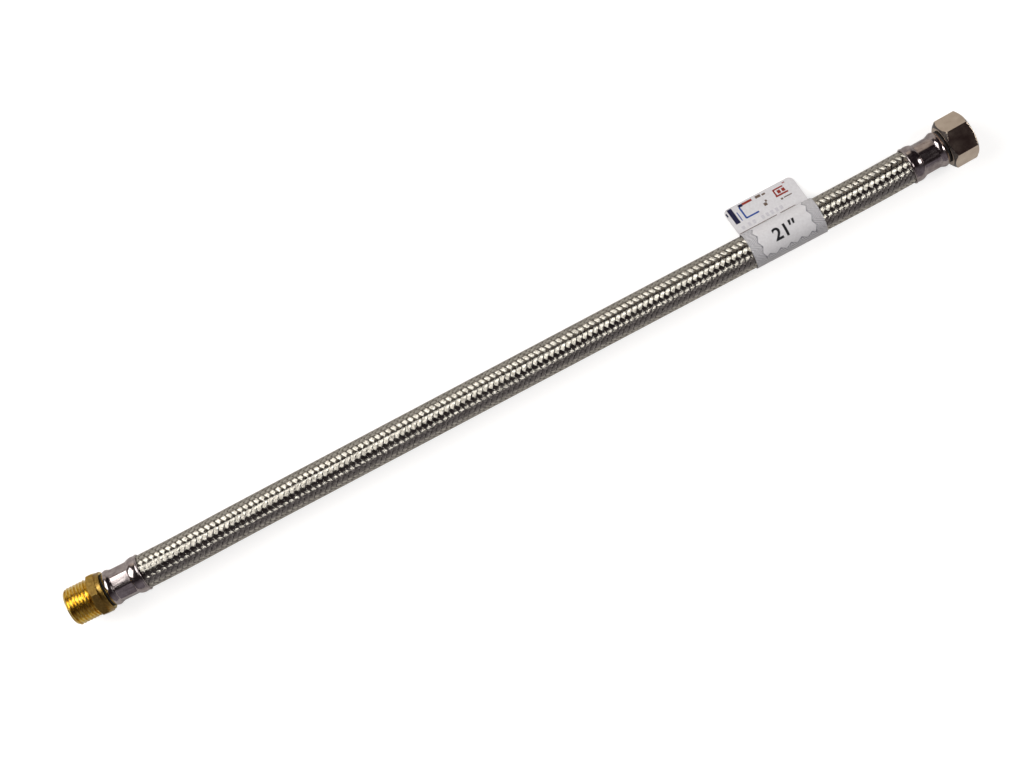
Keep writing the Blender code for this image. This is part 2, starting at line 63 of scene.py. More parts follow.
# Route of the hose's axis, from the mouth of one ferrule to the mouth of the other, in metres
ROUTE = [
    (-0.2247, -0.00466, 0.01252),
    (-0.2170, -0.00481, 0.01250),
    (-0.2060, -0.00495, 0.01232),
    (-0.1960, -0.00500, 0.01185),
    (-0.1860, -0.00500, 0.01112),
    (-0.1760, -0.00500, 0.01036),
    (-0.1650, -0.00500, 0.00976),
    (-0.1500, -0.00500, 0.00955),
    (-0.1100, -0.00500, 0.00955),
    (-0.0600, -0.00500, 0.00955),
    (-0.0100, -0.00500, 0.00955),
    (0.0400, -0.00500, 0.00955),
    (0.0800, -0.00500, 0.00955),
    (0.1050, -0.00500, 0.00968),
    (0.1200, -0.00500, 0.00996),
    (0.1350, -0.00500, 0.01010),
    (0.1550, -0.00500, 0.01010),
    (0.1760, -0.00500, 0.01010),
    (0.1880, -0.00498, 0.01024),
    (0.1990, -0.00490, 0.01073),
    (0.2090, -0.00475, 0.01139),
    (0.2190, -0.00452, 0.01187),
    (0.2299, -0.00423, 0.01200),
]
START_HEADING = math.radians(-1.2)
END_HEADING = math.radians(1.6)
SAMPLES_PER_SPAN = 24
# How far the axis runs on inside a ferrule, and how far off the points lie that give its direction
RUN_ON = 0.06
REACH = 0.0005

# Hose, which is drawn in a little just before each ferrule
HOSE_RADIUS = 0.0095
DRAW_IN = 0.0002
DRAW_IN_LENGTH = 0.0020
# Black rubber rings that fill and darken the gaps behind the ferrules: their outer radius and
# clearance
GAP_RING_RADIUS = 0.0090
GAP_RING_CLEARANCE = 0.00006

# Braid: each bundle floats over two others, then dives under two
STATIONS_PER_TURN = 48
FLOATS_PER_TURN = 6
DIVE_SHARPNESS = 1.6
CARRIER_PHASE = 0.25
# Section of a bundle: its grooves and the fall of its sides as shares of its thickness
GROOVE_SHARE = 0.45
CROWN_SHARE = 0.5
CROWN_POWER = 3
STRAND_INSET = 0.0035

# Crimp ferrules, measured from the mouth that the hose goes into
FERRULE_LENGTH = 0.0206
FERRULE_WALL = 0.0006
FERRULE_MOUTH_RADIUS = 0.0096
FERRULE_NECK_BORE = 0.00825
FERRULE_HOLE_RADIUS = 0.0069
NECK_START = 0.0066
NECK_END = 0.0160
FERRULE_STEPS = 160

# Crimping die, whose jaws leave flats with rounded ridges between them
CRIMP_FLAT_RADIUS = 0.00875
CRIMP_RIDGE_RADIUS = 0.00930
CRIMP_ROUNDING = 0.00022
DIE_JAWS = 8
DIE_END_SLOPE = 2.0
MALE_DIE_ROLL = math.radians(17.0)
NUT_DIE_ROLL = math.radians(-1.6)

# Male fitting, G 1/2, measured from the same mouth as its ferrule
TURNED_STEPS = 144
TAIL_BORE_RADIUS = 0.00475
TAIL_NECK_RADIUS = 0.0066
TAIL_INSET = 0.0020
BARB_COUNT = 4
BARB_DEPTH = 0.0005
BARB_RADIUS = 0.0062
TAIL_NECK_START = 0.0198
FITTING_GAP = 0.0009
COLLAR_RADIUS = 0.0107
COLLAR_LENGTH = 0.0025
MALE_HEX_ACROSS_FLATS = 0.0220
MALE_HEX_LENGTH = 0.0048
MALE_HEX_ROLL = math.radians(-20.4)
MALE_HEX_CHAMFER = math.radians(35.0)
MALE_EDGE = 0.00034
THREAD_LENGTH = 0.0139
MALE_MOUTH_RADIUS = 0.0072
MALE_MOUTH_DEPTH = 0.0129
MALE_MOUTH_TAPER = 0.0040
COLLAR_START = FERRULE_LENGTH + FITTING_GAP
MALE_HEX_START = COLLAR_START + COLLAR_LENGTH
THREAD_START = MALE_HEX_START + MALE_HEX_LENGTH
MALE_END = THREAD_START + THREAD_LENGTH

# Whitworth pipe thread of 14 turns to the inch
THREAD_PITCH = 0.0254 / 14
THREAD_CREST_RADIUS = 0.0104775
THREAD_DEPTH = 0.001162
THREAD_ROOT_RADIUS = THREAD_CREST_RADIUS - THREAD_DEPTH
THREAD_OUTLINE_STEPS = 12
THREAD_STEPS = 96
THREAD_FLATTENING = 1.25
THREAD_FLAT_SHARE = 0.45
THREAD_LEAD_IN = 0.9

# Union nut, measured from the same mouth as its ferrule
NUT_ACROSS_FLATS = 0.0240
NUT_START = FERRULE_LENGTH + 0.0010
NUT_LENGTH = 0.0150
NUT_BACK_WALL = 0.0030
NUT_BORE_RADIUS = 0.00932
NUT_BACK_RADIUS = 0.0109
NUT_FRONT_RADIUS = 0.0113
NUT_BACK_CHAMFER_ANGLE = math.radians(54.0)
NUT_FRONT_CHAMFER_ANGLE = math.radians(62.0)
NUT_HOLE_RADIUS = 0.0070
NUT_MOUTH_CHAMFER = 0.0003
NUT_MOUTH_LEAD_IN = 1.1
STOCK_ALLOWANCE = 0.0003
NUT_END = NUT_START + NUT_LENGTH
FLANGE_START = NUT_START + NUT_BACK_WALL + 0.0003
FLANGE_END = FLANGE_START + 0.0016
WASHER_START = FLANGE_END + 0.0003
WASHER_END = WASHER_START + 0.0020
WASHER_HOLE_RADIUS = 0.00575
WASHER_EDGE = 0.0003
SEAT_RADIUS = 0.00902
FLANGE_EDGE = 0.0002
NUT_EDGE = 0.00018

# Slopes, areas and a radius that tell faces apart, and the turns in degrees of edges to be rounded
UPRIGHT_SLOPE = 0.2
CHAMFER_SLOPES = (0.3, 0.97)
FLAT_AREA = 0.00001
CHAMFER_AREA = 0.0000001
STOCK_RADIUS = 0.0103
MALE_BEVEL_ANGLE = 24.0
NUT_BEVEL_ANGLE = 20.0

# Folded film label
LABEL_CENTRE = 0.3813
LABEL_WIDTH = 0.0416
LABEL_BORE_RADIUS = 0.0098
LABEL_FILM = 0.00025
LABEL_RADIUS = LABEL_BORE_RADIUS + LABEL_FILM
FLAG_LENGTH = 0.0163
FLAG_THICKNESS = 0.0004
FLAG_CORNER_RADIUS = 0.0030
FLAG_MARGIN = 0.0003
FLAG_LEAN = math.radians(6.0)
FLAG_TABLE_GAP = 0.00002
LABEL_STEPS = 96

# Hatched border of the label: share of ink, slope of its lines, width of its rim, and the depth of
# the zigzags at its ends and below
HATCH_SHARE = 0.42
HATCH_SLANT = 0.5
HATCH_RIM = 0.0004
ZIGZAG_ENDS = 0.5
ZIGZAG_BELOW = 0.8

# Print on the label, which lies just above the film
PRINT_LIFT = 0.00004
NUMBER_ANGLE = math.radians(-12.0)
NUMBER_HEIGHT = 0.0070
NUMBER_WEIGHT = 0.00022
# Height of a capital as a share of the font's size, and the letter edges that are cut up to be bent
CAPITAL_HEIGHT = 0.72
LONG_EDGE = 0.0006
FLAG_INKS = (
    ("navy_ink", "#17173A"),
    ("blue_ink", "#23468F"),
    ("red_brown_ink", "#8E2F22"),
    ("umber_ink", "#6B5A4E"),
    ("pale_grey_ink", "#C3BFC2"),
)
# Plain blocks on the flag: ink, and in millimetres place along the hose, place out, width, depth
FLAG_MARKS = (
    (0, -17.2, 10.9, 2.6, 9.4),
    (0, -19.8, 13.0, 0.8, 2.0),
    (0, -11.0, 14.5, 2.4, 1.6),
    (2, -6.9, 14.7, 5.6, 1.3),
    (1, -12.0, 10.2, 0.9, 7.0),
    (1, -8.3, 6.9, 7.6, 0.9),
    (1, -14.6, 9.4, 0.5, 5.4),
    (3, -0.4, 14.6, 3.0, 1.5),
    (3, 2.8, 14.3, 2.0, 1.0),
    (3, 0.6, 8.8, 1.8, 1.8),
    (3, 1.8, 10.4, 1.0, 1.2),
    (2, 8.0, 11.8, 0.8, 4.0),
    (2, 10.9, 13.5, 5.6, 0.8),
    (2, 10.3, 11.5, 1.8, 2.0),
    (2, 12.9, 11.5, 1.8, 2.0),
    (2, 11.0, 9.6, 7.2, 0.9),
    (2, 15.0, 14.9, 1.4, 0.6),
    (3, 9.4, 7.2, 1.2, 1.0),
    (3, 13.0, 7.3, 4.6, 0.6),
    (4, -16.4, 3.0, 1.8, 1.8),
    (4, -12.6, 3.2, 1.6, 2.2),
    (4, -9.8, 3.2, 1.6, 2.2),
    (4, -4.6, 3.2, 1.7, 2.3),
    (4, -1.8, 3.2, 1.5, 2.3),
    (4, 0.9, 3.2, 1.7, 2.3),
    (4, 3.7, 3.2, 1.5, 2.3),
    (4, 6.4, 3.2, 1.7, 2.3),
    (3, -9.0, 0.7, 22.0, 0.35),
    (3, 8.6, 0.7, 9.0, 0.35),
)

# Camera of the photograph, and the lights, floor and walls round it
CAMERA_AIM = Vector((0.0, -0.0040, 0.0115))
SENSOR_WIDTH = 36.0
LAMP_DISTANCE = 1.2
TOP_LEAN = math.radians(-3.0)
TOP_RIGHT = 1.4
TOP_SIZE = (0.5, 0.7)
GROUND_GLOW = 0.70
MIRRORED_GLOW = 0.13


def linear(code):
    """An sRGB hex value as the linear colour that a shader's socket takes."""
    channels = [int(code[start:start + 2], 16) / 255 for start in (1, 3, 5)]
    return tuple(c / 12.92 if c <= 0.04045 else ((c + 0.055) / 1.055) ** 2.4 for c in channels)


def add_node(tree, kind, options=None, values=None, links=None):
    """Adds a node, sets its options and input values, and links other nodes' outputs to it."""
    node = tree.nodes.new(kind)
    for name, value in (options or {}).items():
        setattr(node, name, value)
    for name, value in (values or {}).items():
        node.inputs[name].default_value = value
    for name, socket in (links or {}).items():
        tree.links.new(socket, node.inputs[name])
    return node


def math_node(tree, operation, first, second=0.0):
    """One step of arithmetic on sockets or numbers."""
    node = add_node(tree, "ShaderNodeMath", options={"operation": operation})
    for index, value in enumerate((first, second)):
        if isinstance(value, (int, float)):
            node.inputs[index].default_value = value
        else:
            tree.links.new(value, node.inputs[index])
    return node.outputs[0]


def new_material(name, **values):
    """A material with these plain shader values, its node tree and its object coordinates."""
    material = bpy.data.materials.new(name)
    material.use_nodes = True
    tree = material.node_tree
    names = {
        "metallic": "Metallic",
        "roughness": "Roughness",
        "coat": "Coat Weight",
        "coat_roughness": "Coat Roughness",
        "specular": "Specular IOR Level",
    }
    for key, value in values.items():
        tree.nodes["Principled BSDF"].inputs[names[key]].default_value = value
    return material, tree, add_node(tree, "ShaderNodeTexCoord").outputs["Object"]


def finish(tree, colour=None, roughness=None, normal=None):
    """Links what is given to the Principled shader."""
    inputs = tree.nodes["Principled BSDF"].inputs
    for name, socket in (("Base Color", colour), ("Roughness", roughness), ("Normal", normal)):
        if socket is not None:
            tree.links.new(socket, inputs[name])


def noise(tree, vector, size_mm, detail=3.0, roughness=0.5):
    """Noise whose grains are about so many millimetres wide, on coordinates in metres."""
    return add_node(
        tree,
        "ShaderNodeTexNoise",
        values={"Scale": 1 / (size_mm * MM), "Detail": detail, "Roughness": roughness},
        links={"Vector": vector},
    ).outputs["Fac"]


def stretched(tree, source, scale):
    """Coordinates stretched for a pattern that runs along one direction."""
    options = {"vector_type": "POINT"}
    node = add_node(tree, "ShaderNodeMapping", options, {"Scale": scale}, {"Vector": source})
    return node.outputs["Vector"]


def spread(tree, factor, low=0.0, high=1.0, from_low=0.3, from_high=0.7):
    """A factor brought from noise's usual range to another one."""
    return add_node(
        tree,
        "ShaderNodeMapRange",
        values={"From Min": from_low, "From Max": from_high, "To Min": low, "To Max": high},
        links={"Value": factor},
    ).outputs["Result"]


def blend_colours(tree, factor, first, second):
    """A colour between two hex values or sockets."""
    options = {"data_type": "RGBA", "clamp_factor": True}
    node = add_node(tree, "ShaderNodeMix", options, links={"Factor": factor})
    for index, colour in ((6, first), (7, second)):
        if isinstance(colour, str):
            node.inputs[index].default_value = (*linear(colour), 1.0)
        else:
            tree.links.new(colour, node.inputs[index])
    return node.outputs[2]


def relief(tree, height, depth_mm, strength):
    """A bump of a real depth, and of a share of it."""
    values = {"Strength": strength, "Distance": depth_mm * MM}
    node = add_node(tree, "ShaderNodeBump", values=values, links={"Height": height})
    return node.outputs["Normal"]


def drawn_stainless_wire(settings):
    """Bright drawn wire: a metal drawn through dies, so smooth with faint lines along each wire."""
    material, tree, place = new_material("drawn_stainless_wire", metallic=1.0)
    uv = add_node(tree, "ShaderNodeTexCoord").outputs["UV"]
    smudges = noise(tree, place, 7.0, detail=2.0)
    lots = noise(tree, place, 1.6, detail=1.0)
    tint = blend_colours(tree, spread(tree, lots), settings.wire_dark, settings.wire_light)
    # Die lines are a few hundredths of a millimetre apart, and are drawn three times as coarse
    lines = noise(tree, stretched(tree, uv, (1.0, 0.02, 1.0)), 0.08, detail=2.0)
    finish(tree, tint, spread(tree, smudges, 0.13, 0.22), relief(tree, lines, 0.006, 0.3))
    return material


def pressed_stainless(settings):
    """Stainless sheet, deep drawn and polished: a mirror with faint draw lines and smudges."""
    material, tree, place = new_material("pressed_stainless_steel", metallic=1.0)
    smudges = noise(tree, place, 3.5, detail=4.0)
    draw_lines = noise(tree, stretched(tree, place, (0.06, 1.0, 1.0)), 0.35)
    mottle = math_node(tree, "MULTIPLY", math_node(tree, "ADD", smudges, draw_lines), 0.5)
    share = spread(tree, mottle, 0.0, 1.0, 0.38, 0.62)
    tint = blend_colours(tree, share, settings.steel_dark, settings.steel_light)
    finish(tree, tint, spread(tree, draw_lines, 0.10, 0.24), relief(tree, draw_lines, 0.010, 0.35))
    return material


def nickel_plate(settings):
    """Nickel plating on polished brass: a warm mirror with a faint orange peel."""
    material, tree, place = new_material("nickel_plated_brass", metallic=1.0)
    peel = noise(tree, place, 0.9)
    smudges = noise(tree, place, 6.0)
    tint = blend_colours(tree, spread(tree, smudges), settings.nickel_dark, settings.nickel_light)
    finish(tree, tint, spread(tree, smudges, 0.10, 0.18), relief(tree, peel, 0.012, 0.25))
    return material


def chamfer_painted_dark(settings):
    """Nickel plating over the lathe's rings on the nut's chamfers: duller than the flats, and
    painted darker as shade.
    """
    material, tree, place = new_material("nickel_chamfer_painted_dark", metallic=1.0)
    rings = noise(tree, stretched(tree, place, (1.0, 0.05, 0.05)), 0.2, detail=2.0)
    smudges = noise(tree, place, 3.0)
    tint = blend_colours(tree, spread(tree, smudges), settings.chamfer_shade_dark, settings.chamfer_shade_light)
    finish(tree, tint, spread(tree, rings, 0.22, 0.34), relief(tree, rings, 0.008, 0.3))
    return material


def turned_brass(settings):
    """Brass turned on a lathe: bright yellow, with the tool's fine rings round the axis."""
    material, tree, place = new_material("turned_brass", metallic=1.0)
    rings = noise(tree, stretched(tree, place, (1.0, 0.03, 0.03)), 0.16, detail=2.0)
    patches = noise(tree, place, 2.2, detail=4.0)
    tint = blend_colours(tree, spread(tree, patches), settings.brass_dark, settings.brass_light)
    finish(tree, tint, spread(tree, rings, 0.14, 0.26), relief(tree, rings, 0.005, 0.25))
    return material


def milled_brass_and_collar_shade(settings):
    """Bar brass left as drawn on the hexagon's flats, duller and a little tarnished; on the turned
    collar its darker colour is painted shade.
    """
    material, tree, place = new_material("drawn_bar_brass_and_collar_shade", metallic=1.0)
    draw_lines = noise(tree, stretched(tree, place, (0.05, 1.0, 1.0)), 0.25)
    tarnish = noise(tree, place, 1.3, detail=5.0, roughness=0.6)
    tint = blend_colours(tree, spread(tree, tarnish), settings.brass_tarnish, settings.brass_flat)
    finish(tree, tint, spread(tree, draw_lines, 0.26, 0.42), relief(tree, tarnish, 0.02, 0.4))
    return material


def moulded_rubber(name, light, dark):
    """Black EPDM rubber: matt, with the grain of its mould and a little bloom."""
    material, tree, place = new_material(name, specular=0.35)
    bloom = noise(tree, place, 2.5, detail=4.0)
    grain = noise(tree, place, 0.25, detail=2.0)
    tint = blend_colours(tree, spread(tree, bloom), dark, light)
    finish(tree, tint, spread(tree, bloom, 0.55, 0.75), relief(tree, grain, 0.03, 0.5))
    return material


def printed_film(settings):
    """White polypropylene film, printed and varnished: a hatched border round a plain field."""
    material, tree, place = new_material(
        "printed_gloss_film", coat=0.6, coat_roughness=0.06, roughness=0.35
    )
    step = functools.partial(math_node, tree)
    uv = add_node(tree, "ShaderNodeTexCoord").outputs["UV"]
    parts = add_node(tree, "ShaderNodeSeparateXYZ", links={"Vector": uv})
    along, round_hose = parts.outputs["X"], parts.outputs["Y"]
    # The border's inner edge zigzags, and its lines slant the same way
    beyond_ends = step("SUBTRACT", step("ABSOLUTE", along), settings.field_length / 2)
    below = step("SUBTRACT", round_hose, settings.field_height / 2)
    ripple_ends = step("PINGPONG", round_hose, settings.hatch_turn)
    ripple_below = step("PINGPONG", along, settings.hatch_turn)
    ends = step("SUBTRACT", beyond_ends, step("MULTIPLY", ripple_ends, ZIGZAG_ENDS))
    lower = step("SUBTRACT", below, step("MULTIPLY", ripple_below, ZIGZAG_BELOW))
    outside = step("MAXIMUM", ends, lower)
    across_ends = step("SUBTRACT", ripple_ends, step("MULTIPLY", beyond_ends, HATCH_SLANT))
    across_below = step("SUBTRACT", ripple_below, step("MULTIPLY", below, HATCH_SLANT))
    shift = step("SUBTRACT", across_below, across_ends)
    in_lower = step("GREATER_THAN", lower, ends)
    across = step("ADD", across_ends, step("MULTIPLY", shift, in_lower))
    wave = step("PINGPONG", across, settings.hatch_spacing / 2)
    lines = step("LESS_THAN", wave, settings.hatch_spacing * HATCH_SHARE / 2)
    rim = step("LESS_THAN", step("ABSOLUTE", outside), HATCH_RIM / 2)
    printed = step("MULTIPLY", lines, step("GREATER_THAN", outside, 0.0))
    hatched = step("MAXIMUM", printed, rim)
    cover = spread(tree, noise(tree, place, 1.2, detail=2.0))
    paper = blend_colours(tree, cover, settings.film_shade, settings.film_white)
    ripples = relief(tree, noise(tree, place, 5.0, detail=2.0), 0.12, 0.6)
    finish(tree, blend_colours(tree, hatched, paper, settings.hatch_grey), normal=ripples)
    return material


def ink(name, code):
    """Printing ink under the same gloss varnish as the film, a little lighter where it is thin."""
    material, tree, place = new_material(name, coat=0.6, coat_roughness=0.06)
    coverage = noise(tree, place, 0.4)
    full = Vector(linear(code))
    thin = full * 1.25 + Vector((0.01, 0.01, 0.01))
    links = {"Factor": spread(tree, coverage)}
    mix = add_node(tree, "ShaderNodeMix", options={"data_type": "RGBA"}, links=links)
    mix.inputs[6].default_value = (*full, 1.0)
    mix.inputs[7].default_value = (*thin, 1.0)
    finish(tree, mix.outputs[2], spread(tree, coverage, 0.3, 0.45))
    return material


def smooth_route():
    """The route as close points on one smooth curve, with the distance of each along it."""
    knots = [Vector(point) for point in ROUTE]
    headings = [Vector((math.cos(START_HEADING), math.sin(START_HEADING), 0.0))]
    for before, after in zip(knots, knots[2:]):
        headings.append((after - before).normalized())
    headings.append(Vector((math.cos(END_HEADING), math.sin(END_HEADING), 0.0)))
    points = [knots[0]]
    for index in range(len(knots) - 1):
        start, end = knots[index], knots[index + 1]
        span = (end - start).length
        for step in range(1, SAMPLES_PER_SPAN + 1):
            t = step / SAMPLES_PER_SPAN
            points.append(
                start * (2 * t**3 - 3 * t**2 + 1)
                + headings[index] * span * (t**3 - 2 * t**2 + t)
                + end * (3 * t**2 - 2 * t**3)
                + headings[index + 1] * span * (t**3 - t**2)
            )
    points = np.array([tuple(point) for point in points])
    steps = np.linalg.norm(np.diff(points, axis=0), axis=1)
    distances = np.concatenate([[0.0], np.cumsum(steps)])
    return points, distances, headings[0], headings[-1]


ROUTE_POINTS, ROUTE_DISTANCES, START_DIRECTION, END_DIRECTION = smooth_route()
HOSE_LENGTH = float(ROUTE_DISTANCES[-1])


def route_points(distances):
    """Points of the hose's axis, which runs on straight inside the ferrules."""
    before = ROUTE_POINTS[0] - np.array(START_DIRECTION) * RUN_ON
    after = ROUTE_POINTS[-1] + np.array(END_DIRECTION) * RUN_ON
    points = np.vstack([before, ROUTE_POINTS, after])
    marks = np.concatenate([[-RUN_ON], ROUTE_DISTANCES, [HOSE_LENGTH + RUN_ON]])
    return np.stack([np.interp(distances, marks, points[:, axis]) for axis in range(3)], axis=-1)


def route_frames(distances):
    """Points of the axis with the directions up from it, aside to the right, and along it."""
    along = route_points(distances + REACH) - route_points(distances - REACH)
    along /= np.linalg.norm(along, axis=-1, keepdims=True)
    side = np.cross(along, np.array([0.0, 0.0, 1.0]))
    side /= np.linalg.norm(side, axis=-1, keepdims=True)
    return route_points(distances), np.cross(side, along), side, along


def around_hose(distances, angles, radii):
    """Points round the hose, with angles from the top towards the right-hand side."""
    centre, rise, side, _ = route_frames(distances)
    upwards, sideways = radii * np.cos(angles), radii * np.sin(angles)
    return centre + rise * upwards[:, None] + side * sideways[:, None]


def axis_matrix(origin, direction):
    """A frame whose Z runs along the given direction, with its X as nearly up as it can be."""
    along = direction.normalized()
    side = along.cross(Vector((0.0, 0.0, 1.0))).normalized()
    rise = side.cross(along)
    return Matrix.Translation(origin) @ Matrix((rise, side, along)).transposed().to_4x4()


MALE_FRAME = axis_matrix(Vector(ROUTE_POINTS[0]), -START_DIRECTION)
NUT_FRAME = axis_matrix(Vector(ROUTE_POINTS[-1]), END_DIRECTION)


def label_frame():
    """The hose's frame at the middle of the label."""
    point, _, _, along = route_frames(np.array([LABEL_CENTRE]))
    return axis_matrix(Vector(point[0]), Vector(along[0]))


def mesh_of(shape, name):
    """A mesh made of a bmesh, which is used up."""
    mesh = bpy.data.meshes.new(name)
    shape.to_mesh(mesh)
    shape.free()
    return mesh


def new_object(name, data):
    """An object in the scene."""
    obj = bpy.data.objects.new(name, data)
    bpy.context.scene.collection.objects.link(obj)
    return obj


def add_piece(
    name, shape, materials, replaces=(), place=None, body=HOSE_BODY, smooth_angle=30.0
):
    """Makes an object of a finished bmesh in its place, tied to its body, slot and CAD nodes."""
    if place is not None:
        bmesh.ops.transform(shape, matrix=place, verts=shape.verts)
    mesh = mesh_of(shape, name)
    obj = new_object(name, mesh)
    for material in materials:
        mesh.materials.append(material)
    if smooth_angle:
        mesh.shade_smooth()
        mesh.set_sharp_from_angle(angle=math.radians(smooth_angle))
    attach(obj, body)
    if replaces:
        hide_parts(*replaces)
    return obj


def sweep(shape, points, angle, rise, steps, closed=True):
    """Takes a chain of points round Z and up by a rise each step. Without a rise it closes."""
    verts = [shape.verts.new(point) for point in points]
    chain = verts[-1:] + verts if closed else verts
    edges = [shape.edges.new(pair) for pair in zip(chain, chain[1:])]
    bmesh.ops.spin(
        shape,
        geom=verts + edges,
        cent=(0.0, 0.0, 0.0),
        axis=(0.0, 0.0, 1.0),
        dvec=(0.0, 0.0, rise),
        angle=angle,
        steps=steps,
        use_merge=not rise,
        use_duplicate=False,
    )


def spin_outline(outline, steps):
    """A new shape: a closed outline of (radius, height) turned round Z."""
    shape = bmesh.new()
    sweep(shape, [(radius, 0.0, height) for radius, height in outline], 2 * math.pi, 0.0, steps)
    bmesh.ops.remove_doubles(shape, verts=shape.verts, dist=MERGE_DISTANCE)
    bmesh.ops.recalc_face_normals(shape, faces=shape.faces)
    return shape


def swell(start, end, rise, count):
    """Outline points from one (radius, height) to another that swell outwards by a rise."""
    points = []
    for step in range(count + 1):
        t = step / count
        radius = start[0] + (end[0] - start[0]) * t + rise * math.sin(math.pi * t)
        points.append((radius, start[1] + (end[1] - start[1]) * t))
    return points


def open_edges(items):
    """Those among the items that are open edges."""
    return [item for item in items if isinstance(item, bmesh.types.BMEdge) and item.is_boundary]


def cut_off(shape, point, normal):
    """Cuts off what lies beyond a plane, and gives back the open edges of the cut."""
    cut = bmesh.ops.bisect_plane(
        shape,
        geom=shape.verts[:] + shape.edges[:] + shape.faces[:],
        dist=MERGE_DISTANCE,
        plane_co=point,
        plane_no=normal,
        clear_outer=True,
    )
    return open_edges(cut["geom_cut"])


def cut_flats(shape, across_flats, roll):
    """Mills six flats on round stock, where it stands out beyond them."""
    for side in range(6):
        angle = roll + math.radians(60 * side)
        normal = Vector((math.cos(angle), math.sin(angle), 0.0))
        rim = cut_off(shape, normal * across_flats / 2, normal)
        bmesh.ops.holes_fill(shape, edges=rim, sides=0)


def bevel(shape, edges, width, segments, **options):
    """Rounds edges over a width."""
    bmesh.ops.bevel(
        shape,
        geom=edges,
        offset=width,
        offset_type="OFFSET",
        segments=segments,
        profile=0.5,
        affect="EDGES",
        material=-1,
        **options,
    )


def break_edges(shape, angle_degrees, width, inner_radius):
    """Takes the sharpness off the edges outside a radius that turn by more than an angle."""
    limit = math.radians(angle_degrees)
    edges = [
        edge
        for edge in shape.edges
        if len(edge.link_faces) == 2
        and edge.calc_face_angle(0.0) > limit
        and all(math.hypot(vertex.co.x, vertex.co.y) > inner_radius for vertex in edge.verts)
    ]
    bevel(shape, edges, width, 2, clamp_overlap=True)


def thread_outline(crest, root):
    """One pitch of a Whitworth thread as (radius, height), with rounded root and crest."""
    middle, half_depth = (crest + root) / 2, (crest - root) / 2
    points = []
    for step in range(THREAD_OUTLINE_STEPS + 1):
        wave = -math.cos(2 * math.pi * step / THREAD_OUTLINE_STEPS)
        flattened = math.tanh(THREAD_FLATTENING * wave) / math.tanh(THREAD_FLATTENING)
        level = (1 - THREAD_FLAT_SHARE) * wave + THREAD_FLAT_SHARE * flattened
        points.append((middle + half_depth * level, THREAD_PITCH * step / THREAD_OUTLINE_STEPS))
    return points


def helical_thread(profile, start, end, limit):
    """A thread's surface between two heights, held in by a function, with open ends."""
    shape = bmesh.new()
    turns = math.ceil((end - start) / THREAD_PITCH) + 2
    base = start - 1.5 * THREAD_PITCH
    outline = [(radius, 0.0, base + height) for radius, height in thread_outline(*profile)]
    rise = THREAD_PITCH / THREAD_STEPS
    sweep(shape, outline, 2 * math.pi * turns, rise, THREAD_STEPS * turns, closed=False)
    bmesh.ops.remove_doubles(shape, verts=shape.verts, dist=HAIR / 3)
    for height, direction in ((start, -1.0), (end, 1.0)):
        cut_off(shape, (0.0, 0.0, height), (0.0, 0.0, direction))
    for vertex in shape.verts:
        radius = math.hypot(vertex.co.x, vertex.co.y)
        held = limit(radius, vertex.co.z)
        vertex.co.x *= held / radius
        vertex.co.y *= held / radius
    return shape


def rim_at(shape, height):
    """The open edges at a height."""
    return [
        edge
        for edge in shape.edges
        if edge.is_boundary and all(abs(vertex.co.z - height) < HAIR for vertex in edge.verts)
    ]


def threaded_ring(profile, ends, limit, other_radius):
    """A closed ring with a thread on one side and a plain wall of another radius on the other."""
    start, end = ends
    shape = helical_thread(profile, start, end, limit)
    rim = rim_at(shape, end)
    for height in (end, start):
        grown = bmesh.ops.extrude_edge_only(shape, edges=rim)["geom"]
        for vertex in (item for item in grown if isinstance(item, bmesh.types.BMVert)):
            scale = other_radius / math.hypot(vertex.co.x, vertex.co.y)
            vertex.co = (vertex.co.x * scale, vertex.co.y * scale, height)
        rim = open_edges(grown)
    bmesh.ops.bridge_loops(shape, edges=rim_at(shape, start))
    bmesh.ops.recalc_face_normals(shape, faces=shape.faces)
    return shape


def add_shape(target, source):
    """Moves one bmesh's faces into another."""
    mesh = mesh_of(source, "part")
    target.from_mesh(mesh)
    bpy.data.meshes.remove(mesh)


def barbed_tail():
    """Outer side of a hose tail from its neck down to its tip."""
    outline = [(TAIL_NECK_RADIUS, TAIL_NECK_START)]
    barb_length = (TAIL_NECK_START - TAIL_INSET) / BARB_COUNT
    for barb in range(BARB_COUNT):
        top = TAIL_NECK_START - barb * barb_length
        outline.append((BARB_RADIUS, top))
        outline.append((BARB_RADIUS - BARB_DEPTH, top - barb_length))
    outline.append((TAIL_BORE_RADIUS, TAIL_INSET))
    return outline


def hex_colour(name, description, code):
    """A colour of the panel, as an sRGB hex value."""
    return bpy.props.StringProperty(name=name, description=description, default=code)


def number(name, description, value, unit="LENGTH"):
    """A number of the panel, in metres, radians or watts."""
    return bpy.props.FloatProperty(name=name, description=description, default=value, unit=unit)


def whole_number(name, description, value, least):
    """A whole number of the panel."""
    return bpy.props.IntProperty(name=name, description=description, default=value, min=least)


class HOSE_PG_braid(bpy.types.PropertyGroup):
    """Sizes of the wire braid."""

    carriers: whole_number("Carriers", "Wire bundles in the braid, half of them each way", 24, 8)
    wires: whole_number("Wires", "Wires side by side in one bundle", 6, 2)
    lead: number("Lead", "Length of hose in one turn of a bundle", 0.039196)
    bundle_width: number("Bundle width", "Width of one bundle", 0.00224)
    thickness: number("Thickness", "Thickness of one bundle", 0.00030)
    lift: number("Lift", "How far a bundle rises and dips about its middle", 0.00023)
    band_angle: number(
        "Band angle", "Where the first row of floats begins", math.radians(-6.6), "ROTATION"
    )


